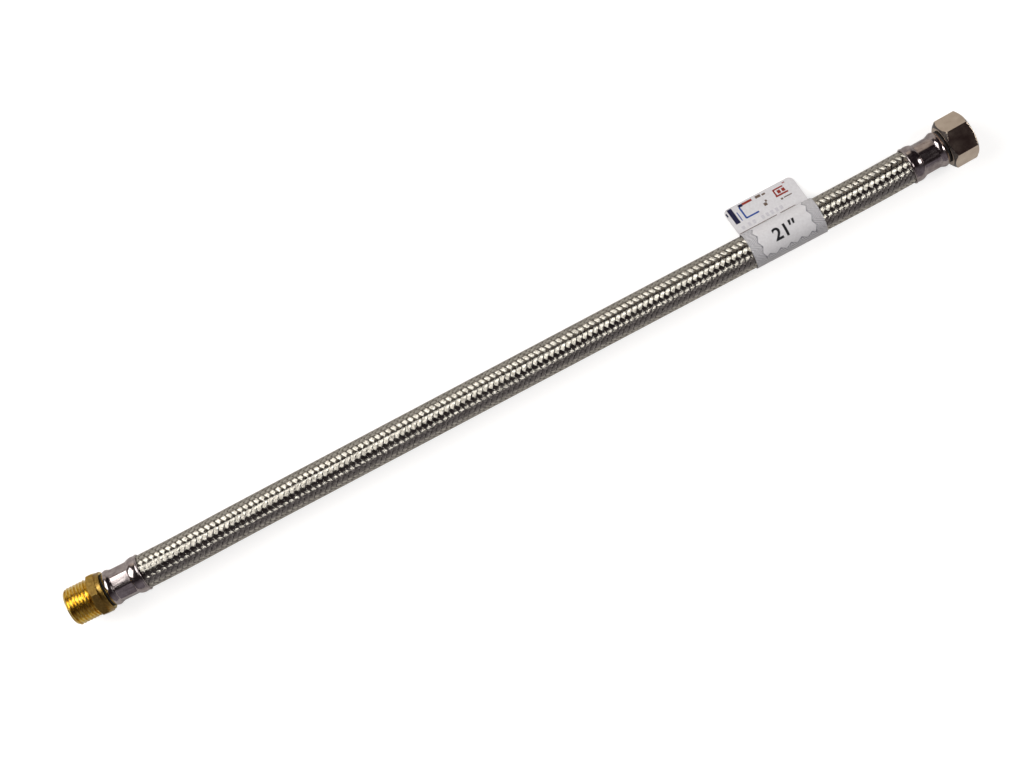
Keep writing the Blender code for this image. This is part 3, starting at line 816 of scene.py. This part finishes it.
class HOSE_PG_finishes(bpy.types.PropertyGroup):
    """Colours of the finishes, and sizes of the label's hatched border."""

    wire_light: hex_colour("Wire, light", "Bright wire", "#C2BDB2")
    wire_dark: hex_colour("Wire, dark", "Duller wire", "#9C978D")
    steel_light: hex_colour("Steel, light", "Polished ferrule", "#BBB1AE")
    steel_dark: hex_colour("Steel, dark", "Smudged ferrule", "#8A7F7E")
    nickel_light: hex_colour("Nickel, light", "Clean plating", "#D9C8B4")
    nickel_dark: hex_colour("Nickel, dark", "Smudged plating", "#C4B19E")
    # Both chamfer colours are painted shade: the chamfers' nickel is set darker than the flats' for
    # the dark they show
    chamfer_shade_light: hex_colour("Chamfer, light", "Turned chamfer", "#6E6661")
    chamfer_shade_dark: hex_colour("Chamfer, dark", "Turned chamfer with oil in it", "#3C3735")
    brass_light: hex_colour("Brass, light", "Fresh turned brass", "#F0D880")
    brass_dark: hex_colour("Brass, dark", "Brass with a film of oil", "#C49A40")
    brass_flat: hex_colour("Brass, flats", "Bar brass", "#A98946")
    brass_tarnish: hex_colour("Brass, tarnish", "Tarnished bar brass", "#7E6230")
    film_white: hex_colour("Film", "White film", "#E4E1E1")
    film_shade: hex_colour("Film, shade", "Thinner white", "#DBD7D7")
    hatch_grey: hex_colour("Hatch", "Border lines", "#7C7A7E")
    hatch_spacing: number("Hatch spacing", "Distance between the border's lines", 0.00105)
    hatch_turn: number("Hatch turn", "Distance in which the border's edge turns back", 0.0031)
    field_length: number("Field length", "Length of the plain field", 0.0290)
    field_height: number("Field height", "Height of the plain field round the hose", 0.0105)


class HOSE_PG_studio(bpy.types.PropertyGroup):
    """Camera, lights and floor."""

    tilt: number("Tilt", "Lean of the camera from straight down", math.radians(6.62), "ROTATION")
    roll: number("Roll", "Slope of the hose in the picture", math.radians(27.876), "ROTATION")
    distance: number("Distance", "From the camera to the hose", 0.9473)
    lens: number("Lens", "Focal length in millimetres on a 36 mm sensor", 63.2, "NONE")
    off_right: number("Aim right", "Aim of the camera, to the right of the hose's middle", -0.0046)
    off_up: number("Aim up", "Aim of the camera, above the hose's middle", -0.00707)
    key_power: number("Key power", "Power of the large soft box", 21.5, "POWER")
    key_lean: number("Key lean", "Lean of the soft box to the back", math.radians(41.0), "ROTATION")
    key_left: number("Key left", "How far the soft box stands to the left", 0.95)
    key_width: number("Key width", "Width of the soft box", 1.2)
    key_height: number("Key height", "Height of the soft box", 1.04)
    top_power: number("Top power", "Power of the small light overhead on the right", 10.0, "POWER")
    floor_size: number("Floor size", "Side of the table top", 6.0)


def strand_blank(settings, length):
    """A straight bundle as long as needed: across is x, height is y and the way along is z."""
    half = settings.bundle_width / 2
    columns = 2 * settings.wires
    outline = []
    for index in range(columns + 1):
        across = -half + settings.bundle_width * index / columns
        crown = -CROWN_SHARE * settings.thickness * abs(across / half) ** CROWN_POWER
        groove = 0.0 if index % 2 else -GROOVE_SHARE * settings.thickness
        outline.append((across, crown + groove, 0.0))
    grooves = [across for across, _, _ in outline[::2]]
    outline.append((0.0, -settings.thickness, 0.0))
    steps = round(length / settings.lead * STATIONS_PER_TURN)
    shape = bmesh.new()
    sweep(shape, outline, 0.0, length / steps, steps)
    bmesh.ops.holes_fill(shape, edges=open_edges(shape.edges), sides=0)
    bmesh.ops.recalc_face_normals(shape, faces=shape.faces)
    layer = shape.loops.layers.uv.new("wire")
    for face in shape.faces:
        face.smooth = True
        for loop in face.loops:
            loop[layer].uv = (loop.vert.co.x, loop.vert.co.z)
    for edge in shape.edges:
        first, second = (vertex.co.x for vertex in edge.verts)
        level = abs(first - second) < MERGE_DISTANCE
        grooved = any(abs(first - across) < MERGE_DISTANCE for across in grooves)
        edge.smooth = not (level and grooved)
    return mesh_of(shape, "strand_blank")


def lay_strand(points, hand, turn, settings):
    """Winds a straight bundle round the hose, over two others and under two others in turn."""
    across, height, way = points.T
    travel = way - STRAND_INSET
    middle = HOSE_RADIUS - settings.lift
    per_metre = 2 * math.pi / settings.lead
    slope = math.atan(middle * per_metre)
    crossing = travel - hand * across * math.cos(2 * slope) / (2 * math.sin(slope))
    band = FLOATS_PER_TURN * (turn + hand * per_metre * crossing - settings.band_angle)
    wave = np.tanh(DIVE_SHARPNESS * np.sin(band)) / math.tanh(DIVE_SHARPNESS)
    distance = travel + hand * across * math.sin(slope)
    angle = turn + hand * per_metre * travel - across * math.cos(slope) / middle
    inside = np.maximum(-distance, distance - HOSE_LENGTH)
    drawn_in = DRAW_IN * np.clip((inside + DRAW_IN_LENGTH) / DRAW_IN_LENGTH, 0.0, 1.0)
    radius = middle + hand * settings.lift * wave + height - drawn_in
    return around_hose(distance, angle, radius)


class HOSE_OT_braid(bpy.types.Operator):
    """Braid of stainless steel wire, half of its bundles wound each way"""

    bl_idname = "hose.braid"
    bl_label = "Wire braid"

    def execute(self, context):
        settings = context.scene.hose_braid
        wire = drawn_stainless_wire(context.scene.hose_finishes)
        length = HOSE_LENGTH + 2 * STRAND_INSET
        blank = strand_blank(settings, length)
        straight_points = np.empty(len(blank.vertices) * 3)
        blank.vertices.foreach_get("co", straight_points)
        straight_points = straight_points.reshape(-1, 3)
        each_way = settings.carriers // 2
        for name, hand in (("braid_right_hand", 1), ("braid_left_hand", -1)):
            shape = bmesh.new()
            for carrier in range(each_way):
                turn = 2 * math.pi * (carrier + CARRIER_PHASE) / each_way + settings.band_angle
                laid = lay_strand(straight_points, hand, turn, settings)
                blank.vertices.foreach_set("co", laid.ravel())
                shape.from_mesh(blank)
            replaced = ("wire_braid",) if hand == 1 else ()
            add_piece(name, shape, [wire], replaced, smooth_angle=0.0)
        bpy.data.meshes.remove(blank)
        return {"FINISHED"}


def ferrule_outline():
    """Section of a ferrule: end wall, bead, neck, skirt and rolled lip, then the inner side."""
    ridge, mouth, bore = CRIMP_RIDGE_RADIUS, FERRULE_MOUTH_RADIUS, FERRULE_NECK_BORE
    skirt = mouth + FERRULE_WALL * 0.6
    bead_groove = NECK_END + 0.0006
    lip_groove = 0.0013
    outline = [(FERRULE_HOLE_RADIUS, FERRULE_LENGTH), (ridge - 0.0004, FERRULE_LENGTH)]
    outline += swell((ridge - 0.0002, FERRULE_LENGTH - 0.0001), (ridge, bead_groove), 0.00075, 14)
    outline += swell((ridge - 0.00005, bead_groove - 0.0002), (ridge, NECK_END), 0.00012, 3)
    outline += swell((ridge, NECK_END - 0.0003), (ridge, NECK_START + 0.0003), 0.0, 22)
    outline += swell((ridge, NECK_START), (skirt - 0.0001, lip_groove), 0.0005, 16)
    outline += swell((skirt - 0.00005, lip_groove - 0.0002), (mouth + 0.0002, 0.0), 0.0004, 10)
    outline += [
        (mouth - 0.0002, 0.0),
        (mouth - 0.0003, 0.0003),
        (mouth, 0.0010),
        (mouth, NECK_START * 0.6),
        (bore, NECK_START),
        (bore, NECK_END),
        (bore + 0.0009, NECK_END + 0.0018),
        (bore + 0.0009, FERRULE_LENGTH - 0.0016),
        (bore + 0.0002, FERRULE_LENGTH - 0.0008),
        (FERRULE_HOLE_RADIUS, FERRULE_LENGTH - 0.0008),
    ]
    return outline


def crimp(shape, roll):
    """Presses the neck with the jaws of a die."""
    pitch = 2 * math.pi / DIE_JAWS
    for vertex in shape.verts:
        radius = math.hypot(vertex.co.x, vertex.co.y)
        if radius < CRIMP_FLAT_RADIUS:
            continue
        angle = (math.atan2(vertex.co.y, vertex.co.x) - roll - pitch / 2) % pitch - pitch / 2
        beyond = max(0.0, NECK_START - vertex.co.z, vertex.co.z - NECK_END)
        jaw = (CRIMP_FLAT_RADIUS + beyond * DIE_END_SLOPE) / math.cos(angle)
        gap = (radius - jaw) / CRIMP_ROUNDING
        pressed = radius - CRIMP_ROUNDING * np.logaddexp(0.0, gap)
        vertex.co.x *= pressed / radius
        vertex.co.y *= pressed / radius


class HOSE_OT_ferrules(bpy.types.Operator):
    """Two ferrules of pressed stainless steel, crimped on the hose"""

    bl_idname = "hose.ferrules"
    bl_label = "Crimp ferrules"

    def execute(self, context):
        steel = pressed_stainless(context.scene.hose_finishes)
        for node, place, roll in (
            ("male_ferrule", MALE_FRAME, MALE_DIE_ROLL),
            ("nut_ferrule", NUT_FRAME, NUT_DIE_ROLL),
        ):
            shape = spin_outline(ferrule_outline(), FERRULE_STEPS)
            crimp(shape, roll)
            add_piece(node + "_shell", shape, [steel], (node,), place)
        return {"FINISHED"}


class HOSE_OT_male_fitting(bpy.types.Operator):
    """Brass fitting with a male thread, a hexagon, a collar and a barbed tail"""

    bl_idname = "hose.male_fitting"
    bl_label = "Male fitting"

    def execute(self, context):
        finishes = context.scene.hose_finishes
        turned, flat_and_collar_shade = turned_brass(finishes), milled_brass_and_collar_shade(finishes)
        corner = MALE_HEX_ACROSS_FLATS / 2 / math.cos(math.pi / 6)
        face = MALE_HEX_ACROSS_FLATS / 2
        chamfer = (corner - face) * math.tan(MALE_HEX_CHAMFER)
        edge = FITTING_GAP / 3
        outline = [
            (THREAD_ROOT_RADIUS - 0.0004, THREAD_START),
            (face - edge, THREAD_START),
            (corner + edge, THREAD_START - chamfer - edge),
            (corner + edge, MALE_HEX_START + edge),
            (corner - edge, MALE_HEX_START),
            (COLLAR_RADIUS, MALE_HEX_START),
            (COLLAR_RADIUS, COLLAR_START + edge),
            (COLLAR_RADIUS - edge, COLLAR_START),
            (TAIL_NECK_RADIUS, COLLAR_START),
        ]
        outline += barbed_tail()
        outline += [
            (TAIL_BORE_RADIUS, MALE_END - MALE_MOUTH_DEPTH - MALE_MOUTH_TAPER),
            (MALE_MOUTH_RADIUS, MALE_END - MALE_MOUTH_DEPTH),
            (MALE_MOUTH_RADIUS, THREAD_START),
        ]
        shape = spin_outline(outline, TURNED_STEPS)
        cut_flats(shape, MALE_HEX_ACROSS_FLATS, MALE_HEX_ROLL)
        bmesh.ops.recalc_face_normals(shape, faces=shape.faces)
        break_edges(shape, MALE_BEVEL_ANGLE, MALE_EDGE, COLLAR_RADIUS - edge * 1.5)
        for item in shape.faces:
            middle = item.calc_center_median()
            flat_face = abs(item.normal.z) < UPRIGHT_SLOPE and item.calc_area() > FLAT_AREA
            # The turned collar takes the darker flat brass too, as painted shade in place of a
            # highlight
            collar_painted_dark = COLLAR_START - edge < middle.z < MALE_HEX_START
            item.material_index = int((flat_face or collar_painted_dark) and middle.xy.length > STOCK_RADIUS)

        def held(radius, height):
            """Chamfers the thread's tip, and lets it run out at the hexagon."""
            chamfered = THREAD_ROOT_RADIUS - 0.0001 + (MALE_END - height) * THREAD_LEAD_IN
            run_out = THREAD_ROOT_RADIUS + (height - THREAD_START) * THREAD_LEAD_IN
            return min(radius, chamfered, max(run_out, THREAD_ROOT_RADIUS))

        profile, ends = (THREAD_CREST_RADIUS, THREAD_ROOT_RADIUS), (THREAD_START, MALE_END)
        add_shape(shape, threaded_ring(profile, ends, held, MALE_MOUTH_RADIUS))
        metals, node = [turned, flat_and_collar_shade], ("male_fitting",)
        fitting = add_piece("threaded_fitting", shape, metals, node, MALE_FRAME)
        fitting.modifiers.new("even_flats", "WEIGHTED_NORMAL").keep_sharp = True
        return {"FINISHED"}


class HOSE_OT_swivel_end(bpy.types.Operator):
    """Union nut, the tail whose flange it turns on, and the washer"""

    bl_idname = "hose.swivel_end"
    bl_label = "Swivel end"

    def execute(self, context):
        finishes = context.scene.hose_finishes
        corner = NUT_ACROSS_FLATS / 2 / math.cos(math.pi / 6) + STOCK_ALLOWANCE
        back = (corner - NUT_BACK_RADIUS) / math.tan(NUT_BACK_CHAMFER_ANGLE)
        front = (corner - NUT_FRONT_RADIUS) / math.tan(NUT_FRONT_CHAMFER_ANGLE)
        wall_radius = NUT_BORE_RADIUS + THREAD_DEPTH + 0.0002
        thread_start = WASHER_END + 0.0006
        thread_end = NUT_END - NUT_MOUTH_CHAMFER
        outline = [
            (NUT_FRONT_RADIUS, NUT_END),
            (corner, NUT_END - front),
            (corner, NUT_START + back),
            (NUT_BACK_RADIUS, NUT_START),
            (NUT_HOLE_RADIUS, NUT_START),
            (NUT_HOLE_RADIUS, NUT_START + NUT_BACK_WALL),
            (NUT_BORE_RADIUS, NUT_START + NUT_BACK_WALL),
            (NUT_BORE_RADIUS, thread_start),
            (wall_radius, thread_start),
            (wall_radius, thread_end),
            (wall_radius - NUT_MOUTH_CHAMFER, NUT_END),
        ]
        shape = spin_outline(outline, TURNED_STEPS)
        cut_flats(shape, NUT_ACROSS_FLATS, 0.0)
        bmesh.ops.recalc_face_normals(shape, faces=shape.faces)
        break_edges(shape, NUT_BEVEL_ANGLE, NUT_EDGE, NUT_BACK_RADIUS - 0.0002)
        least, most = CHAMFER_SLOPES
        # Sloping chamfer faces take the chamfer material, whose darker colour is painted shade
        for face in shape.faces:
            sloping = least < abs(face.normal.z) < most
            face.material_index = int(sloping and face.calc_area() > CHAMFER_AREA)

        def held(radius, height):
            """Opens the thread's mouth with a chamfer."""
            mouth = NUT_BORE_RADIUS + THREAD_DEPTH * 0.75
            opened = mouth - (thread_end - height) * NUT_MOUTH_LEAD_IN
            return max(radius, min(opened, wall_radius))

        profile = (NUT_BORE_RADIUS, NUT_BORE_RADIUS + THREAD_DEPTH)
        add_shape(shape, threaded_ring(profile, (thread_start, thread_end), held, wall_radius))
        metals = [nickel_plate(finishes), chamfer_painted_dark(finishes)]
        nut = add_piece(
            "union_nut_shell", shape, metals, ("swivel_nut",), NUT_FRAME, NUT_BODY
        )
        nut.modifiers.new("even_flats", "WEIGHTED_NORMAL").keep_sharp = True

        outline = [
            (SEAT_RADIUS - FLANGE_EDGE, FLANGE_END),
            (SEAT_RADIUS, FLANGE_END - FLANGE_EDGE),
            (SEAT_RADIUS, FLANGE_START + FLANGE_EDGE),
            (SEAT_RADIUS - FLANGE_EDGE, FLANGE_START),
            (TAIL_NECK_RADIUS, FLANGE_START),
        ]
        outline += barbed_tail()
        outline.append((TAIL_BORE_RADIUS, FLANGE_END))
        shape = spin_outline(outline, TURNED_STEPS)
        brass = bpy.data.materials["turned_brass"]
        add_piece("flanged_tail", shape, [brass], ("swivel_tail",), NUT_FRAME)

        outline = [
            (SEAT_RADIUS - WASHER_EDGE, WASHER_END),
            (SEAT_RADIUS, WASHER_END - WASHER_EDGE),
            (SEAT_RADIUS, WASHER_START + WASHER_EDGE),
            (SEAT_RADIUS - WASHER_EDGE, WASHER_START),
            (WASHER_HOLE_RADIUS, WASHER_START),
            (WASHER_HOLE_RADIUS, WASHER_END - WASHER_EDGE),
            (WASHER_HOLE_RADIUS + WASHER_EDGE, WASHER_END),
        ]
        shape = spin_outline(outline, TURNED_STEPS)
        rubber = moulded_rubber("cut_rubber_sheet", "#2E2E2F", "#1E1E20")
        add_piece("washer_ring", shape, [rubber], ("sealing_washer",), NUT_FRAME)
        return {"FINISHED"}


class HOSE_OT_inner_hose(bpy.types.Operator):
    """Rubber tube inside the braid, as the frame has it, and black rubber rings that darken the
    gaps behind the ferrules
    """

    bl_idname = "hose.inner_hose"
    bl_label = "Inner hose"

    def execute(self, context):
        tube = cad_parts["inner_hose"]
        rubber = moulded_rubber("extruded_epdm_rubber", "#2A2A2B", "#171718")
        tube.data.materials.clear()
        tube.data.materials.append(rubber)
        # A black ring in each gap behind a ferrule, which darkens the gap
        for name, place, end in (
            ("dark_gap_ring_male", MALE_FRAME, COLLAR_START - GAP_RING_CLEARANCE),
            ("dark_gap_ring_nut", NUT_FRAME, NUT_START - 2 * GAP_RING_CLEARANCE),
        ):
            outline = swell((GAP_RING_RADIUS, end), (GAP_RING_RADIUS, FERRULE_LENGTH), 0.0002, 6)
            outline += [(TAIL_NECK_RADIUS, FERRULE_LENGTH), (TAIL_NECK_RADIUS, end)]
            shape = spin_outline(outline, TURNED_STEPS)
            add_piece(name, shape, [rubber], place=place)
        return {"FINISHED"}


class HOSE_OT_label(bpy.types.Operator):
    """Printed film label, wrapped round the hose with its ends stuck together as a flag"""

    bl_idname = "hose.label"
    bl_label = "Label"

    def execute(self, context):
        half = LABEL_WIDTH / 2
        outline = swell((LABEL_RADIUS, half), (LABEL_RADIUS, -half), 0.0, 20)
        outline += swell((LABEL_BORE_RADIUS, -half), (LABEL_BORE_RADIUS, half), 0.0, 20)
        shape = spin_outline(outline, LABEL_STEPS)
        layer = shape.loops.layers.uv.new("print")
        for face in shape.faces:
            middle = face.calc_center_median()
            home = math.atan2(middle.y, middle.x)
            for loop in face.loops:
                angle = math.atan2(loop.vert.co.y, loop.vert.co.x)
                angle += 2 * math.pi * round((home - angle) / (2 * math.pi))
                loop[layer].uv = (loop.vert.co.z, angle * LABEL_RADIUS)
        bmesh.ops.transform(shape, matrix=label_frame(), verts=shape.verts)
        add_shape(shape, flag_plate())
        film = printed_film(context.scene.hose_finishes)
        add_piece("label_film", shape, [film], ("size_label",))
        return {"FINISHED"}


def flag_frame():
    """The flag's frame: X out from the hose, Y up through its thickness, Z along the hose."""
    place = label_frame()
    tip = LABEL_RADIUS + FLAG_LENGTH
    drop = place.translation.z - FLAG_TABLE_GAP
    half = FLAG_THICKNESS / 2
    droop = math.asin(drop / math.hypot(tip, half)) - math.atan(half / tip)
    return place @ Matrix.Rotation(-math.pi / 2 - droop, 4, "Z")


def flag_plate():
    """The flag: two layers of film stuck together, with rounded corners."""
    shape = bmesh.new()
    root = LABEL_BORE_RADIUS + LABEL_FILM / 2
    tip = LABEL_RADIUS + FLAG_LENGTH
    bmesh.ops.create_cube(shape, size=1.0)
    size = (tip - root, FLAG_THICKNESS, LABEL_WIDTH - FLAG_MARGIN)
    bmesh.ops.scale(shape, vec=size, verts=shape.verts)
    bmesh.ops.translate(shape, vec=((tip + root) / 2, 0.0, 0.0), verts=shape.verts)
    corners = [
        edge
        for edge in shape.edges
        if all(vertex.co.x > root + FLAG_LENGTH / 2 for vertex in edge.verts)
        and abs(edge.verts[0].co.y - edge.verts[1].co.y) > FLAG_THICKNESS / 2
    ]
    bevel(shape, corners, FLAG_CORNER_RADIUS, 10)
    layer = shape.loops.layers.uv.new("print")
    for face in shape.faces:
        for loop in face.loops:
            loop[layer].uv = (0.0, 0.0)
    for vertex in shape.verts:
        vertex.co.z -= (vertex.co.x - root) * math.tan(FLAG_LEAN)
    bmesh.ops.transform(shape, matrix=flag_frame(), verts=shape.verts)
    return shape


def text_shape(words, height, weight):
    """Flat letters as a bmesh, centred at the origin."""
    curve = bpy.data.curves.new("letters", "FONT")
    curve.body = words
    curve.size = height / CAPITAL_HEIGHT
    curve.offset = weight
    curve.align_x = "CENTER"
    curve.align_y = "CENTER"
    holder = new_object("letters", curve)
    depsgraph = bpy.context.evaluated_depsgraph_get()
    mesh = bpy.data.meshes.new_from_object(holder.evaluated_get(depsgraph))
    bpy.data.objects.remove(holder)
    bpy.data.curves.remove(curve)
    shape = bmesh.new()
    shape.from_mesh(mesh)
    bpy.data.meshes.remove(mesh)
    bmesh.ops.remove_doubles(shape, verts=shape.verts, dist=MERGE_DISTANCE)
    return shape


class HOSE_OT_print(bpy.types.Operator):
    """Size number on the band, and plain blocks of colour on the flag"""

    bl_idname = "hose.print"
    bl_label = "Label print"

    def execute(self, context):
        black = ink("black_ink", "#141418")
        shape = text_shape("21″", NUMBER_HEIGHT, NUMBER_WEIGHT)
        edges = [edge for edge in shape.edges if edge.calc_length() > LONG_EDGE]
        bmesh.ops.subdivide_edges(shape, edges=edges, cuts=4)
        bmesh.ops.triangulate(shape, faces=shape.faces)
        radius = LABEL_RADIUS + PRINT_LIFT
        for vertex in shape.verts:
            angle = NUMBER_ANGLE - vertex.co.y / radius
            vertex.co = (radius * math.cos(angle), radius * math.sin(angle), vertex.co.x)
        bmesh.ops.transform(shape, matrix=label_frame(), verts=shape.verts)
        for face in shape.faces:
            outward = face.calc_center_median() - label_frame().translation
            if face.normal.dot(outward) < 0:
                face.normal_flip()
        add_piece("size_number", shape, [black])

        inks = [ink(name, code) for name, code in FLAG_INKS]
        shape = bmesh.new()
        for tone, along, out, width, depth in FLAG_MARKS:
            made = bmesh.ops.create_grid(shape, x_segments=1, y_segments=1, size=0.5)["verts"]
            for face in {face for vertex in made for face in vertex.link_faces}:
                face.material_index = tone
            for vertex in made:
                x = LABEL_RADIUS + (out + vertex.co.y * depth) * MM
                lean = (x - LABEL_RADIUS) * math.tan(FLAG_LEAN)
                z = (along + vertex.co.x * width) * MM - lean
                vertex.co = (x, FLAG_THICKNESS / 2 + PRINT_LIFT, z)
        bmesh.ops.transform(shape, matrix=flag_frame(), verts=shape.verts)
        for face in shape.faces:
            if face.normal.z < 0:
                face.normal_flip()
        add_piece("flag_print", shape, inks)
        return {"FINISHED"}


class HOSE_OT_stage(bpy.types.Operator):
    """Table top, two lights, studio walls and camera"""

    bl_idname = "hose.stage"
    bl_label = "Stage"

    def execute(self, context):
        settings = context.scene.hose_studio
        scene = context.scene
        shape = bmesh.new()
        bmesh.ops.create_grid(shape, x_segments=1, y_segments=1, size=settings.floor_size / 2)
        table = new_object("table_top", mesh_of(shape, "table_top"))
        table.data.materials.append(table_finish())
        key_size = (settings.key_width, settings.key_height)
        add_lamp("soft_box", settings.key_lean, settings.key_left, key_size, settings.key_power)
        add_lamp("top_light", TOP_LEAN, -TOP_RIGHT, TOP_SIZE, settings.top_power)
        scene.world = studio_walls()
        scene.camera = photo_camera(settings)
        scene.view_settings.view_transform = "Standard"
        return {"FINISHED"}


def ray_kinds(tree):
    """Whether a ray comes from the camera, and whether it comes off a mirror or through glass."""
    rays = add_node(tree, "ShaderNodeLightPath").outputs
    mirrored = math_node(tree, "MAXIMUM", rays["Is Glossy Ray"], rays["Is Transmission Ray"])
    return rays["Is Camera Ray"], mirrored


def table_finish():
    """Pale laminate, which reads as the photograph's white ground where no shadow falls."""
    material, tree, _ = new_material("white_laminate", roughness=0.6, specular=0.2)
    inputs = tree.nodes["Principled BSDF"].inputs
    inputs["Base Color"].default_value = (*linear("#C6C2BE"), 1.0)
    inputs["Emission Color"].default_value = (1.0, 1.0, 1.0, 1.0)
    direct, mirrored = ray_kinds(tree)
    direct = math_node(tree, "MULTIPLY", direct, GROUND_GLOW)
    mirrored = math_node(tree, "MULTIPLY", mirrored, MIRRORED_GLOW)
    tree.links.new(math_node(tree, "ADD", direct, mirrored), inputs["Emission Strength"])
    return material


def add_lamp(name, lean, left, size, power):
    """A soft light that faces the hose, leans from overhead towards +Y and stands to the left."""
    lamp = bpy.data.lights.new(name, "AREA")
    lamp.shape = "RECTANGLE"
    lamp.size, lamp.size_y = size
    lamp.energy = power
    holder = new_object(name, lamp)
    arm = Vector((-left, math.sin(lean) * LAMP_DISTANCE, math.cos(lean) * LAMP_DISTANCE))
    holder.location = CAMERA_AIM + arm
    holder.rotation_euler = arm.to_track_quat("Z", "Y").to_euler()
    holder.visible_camera = False


def studio_walls():
    """Dim room: a dark ceiling, a grey wall in front and a pale strip at the back."""
    world = bpy.data.worlds.new("studio")
    world.use_nodes = True
    tree = world.node_tree
    background = tree.nodes["Background"]
    direction = add_node(tree, "ShaderNodeTexCoord").outputs["Generated"]
    back = add_node(tree, "ShaderNodeSeparateXYZ", links={"Vector": direction}).outputs["Y"]
    in_front = spread(tree, back, 1.0, 0.0, -0.75, -0.35)
    in_strip = spread(tree, back, 0.0, 1.0, 0.92, 0.98)
    front_wall = blend_colours(tree, in_front, "#2A2226", "#8A868E")
    room = blend_colours(tree, in_strip, front_wall, "#F2E6D8")
    direct, mirrored = ray_kinds(tree)
    lit = blend_colours(tree, mirrored, "#7A7A7C", room)
    tree.links.new(blend_colours(tree, direct, lit, "#FFFFFF"), background.inputs["Color"])
    background.inputs["Strength"].default_value = 1.0
    return world


def photo_camera(settings):
    """The photograph's camera, which looks down, rolled so that the hose climbs to the right."""
    data = bpy.data.cameras.new("photo_camera")
    data.lens = settings.lens
    data.sensor_width = SENSOR_WIDTH
    data.clip_start = 0.01
    camera = new_object("photo_camera", data)
    back = Vector((0.0, math.sin(settings.tilt), math.cos(settings.tilt)))
    hose = Vector((1.0, 0.0, 0.0))
    across = back.cross(hose)
    right = hose * math.cos(settings.roll) - across * math.sin(settings.roll)
    up = hose * math.sin(settings.roll) + across * math.cos(settings.roll)
    place = CAMERA_AIM + right * settings.off_right + up * settings.off_up
    place += back * settings.distance
    turn = Matrix((right, up, back)).transposed().to_4x4()
    camera.matrix_world = Matrix.Translation(place) @ turn
    return camera


class HOSE_PT_panel(bpy.types.Panel):
    """Lists the pieces of the hose in the sidebar"""

    bl_idname = "HOSE_PT_panel"
    bl_label = "Braided hose"
    bl_space_type = "VIEW_3D"
    bl_region_type = "UI"
    bl_category = "Hose"

    def draw(self, context):
        for operator in OPERATORS:
            self.layout.operator(operator.bl_idname)
        for group, kind in SETTINGS.items():
            for name in kind.__annotations__:
                self.layout.prop(getattr(context.scene, group), name)


SETTINGS = {
    "hose_braid": HOSE_PG_braid,
    "hose_finishes": HOSE_PG_finishes,
    "hose_studio": HOSE_PG_studio,
}
OPERATORS = (
    HOSE_OT_stage,
    HOSE_OT_inner_hose,
    HOSE_OT_braid,
    HOSE_OT_ferrules,
    HOSE_OT_male_fitting,
    HOSE_OT_swivel_end,
    HOSE_OT_label,
    HOSE_OT_print,
)


def register():
    for group in SETTINGS.values():
        bpy.utils.register_class(group)
    for operator in OPERATORS:
        bpy.utils.register_class(operator)
    bpy.utils.register_class(HOSE_PT_panel)
    for name, group in SETTINGS.items():
        setattr(bpy.types.Scene, name, bpy.props.PointerProperty(type=group))


def unregister():
    for name in SETTINGS:
        delattr(bpy.types.Scene, name)
    bpy.utils.unregister_class(HOSE_PT_panel)
    for operator in reversed(OPERATORS):
        bpy.utils.unregister_class(operator)
    for group in reversed(SETTINGS.values()):
        bpy.utils.unregister_class(group)


def main():
    register()
    bpy.ops.hose.stage()
    bpy.ops.hose.inner_hose()
    bpy.ops.hose.braid()
    bpy.ops.hose.ferrules()
    bpy.ops.hose.male_fitting()
    bpy.ops.hose.swivel_end()
    bpy.ops.hose.label()
    bpy.ops.hose.print()


if __name__ == "__main__":
    main()
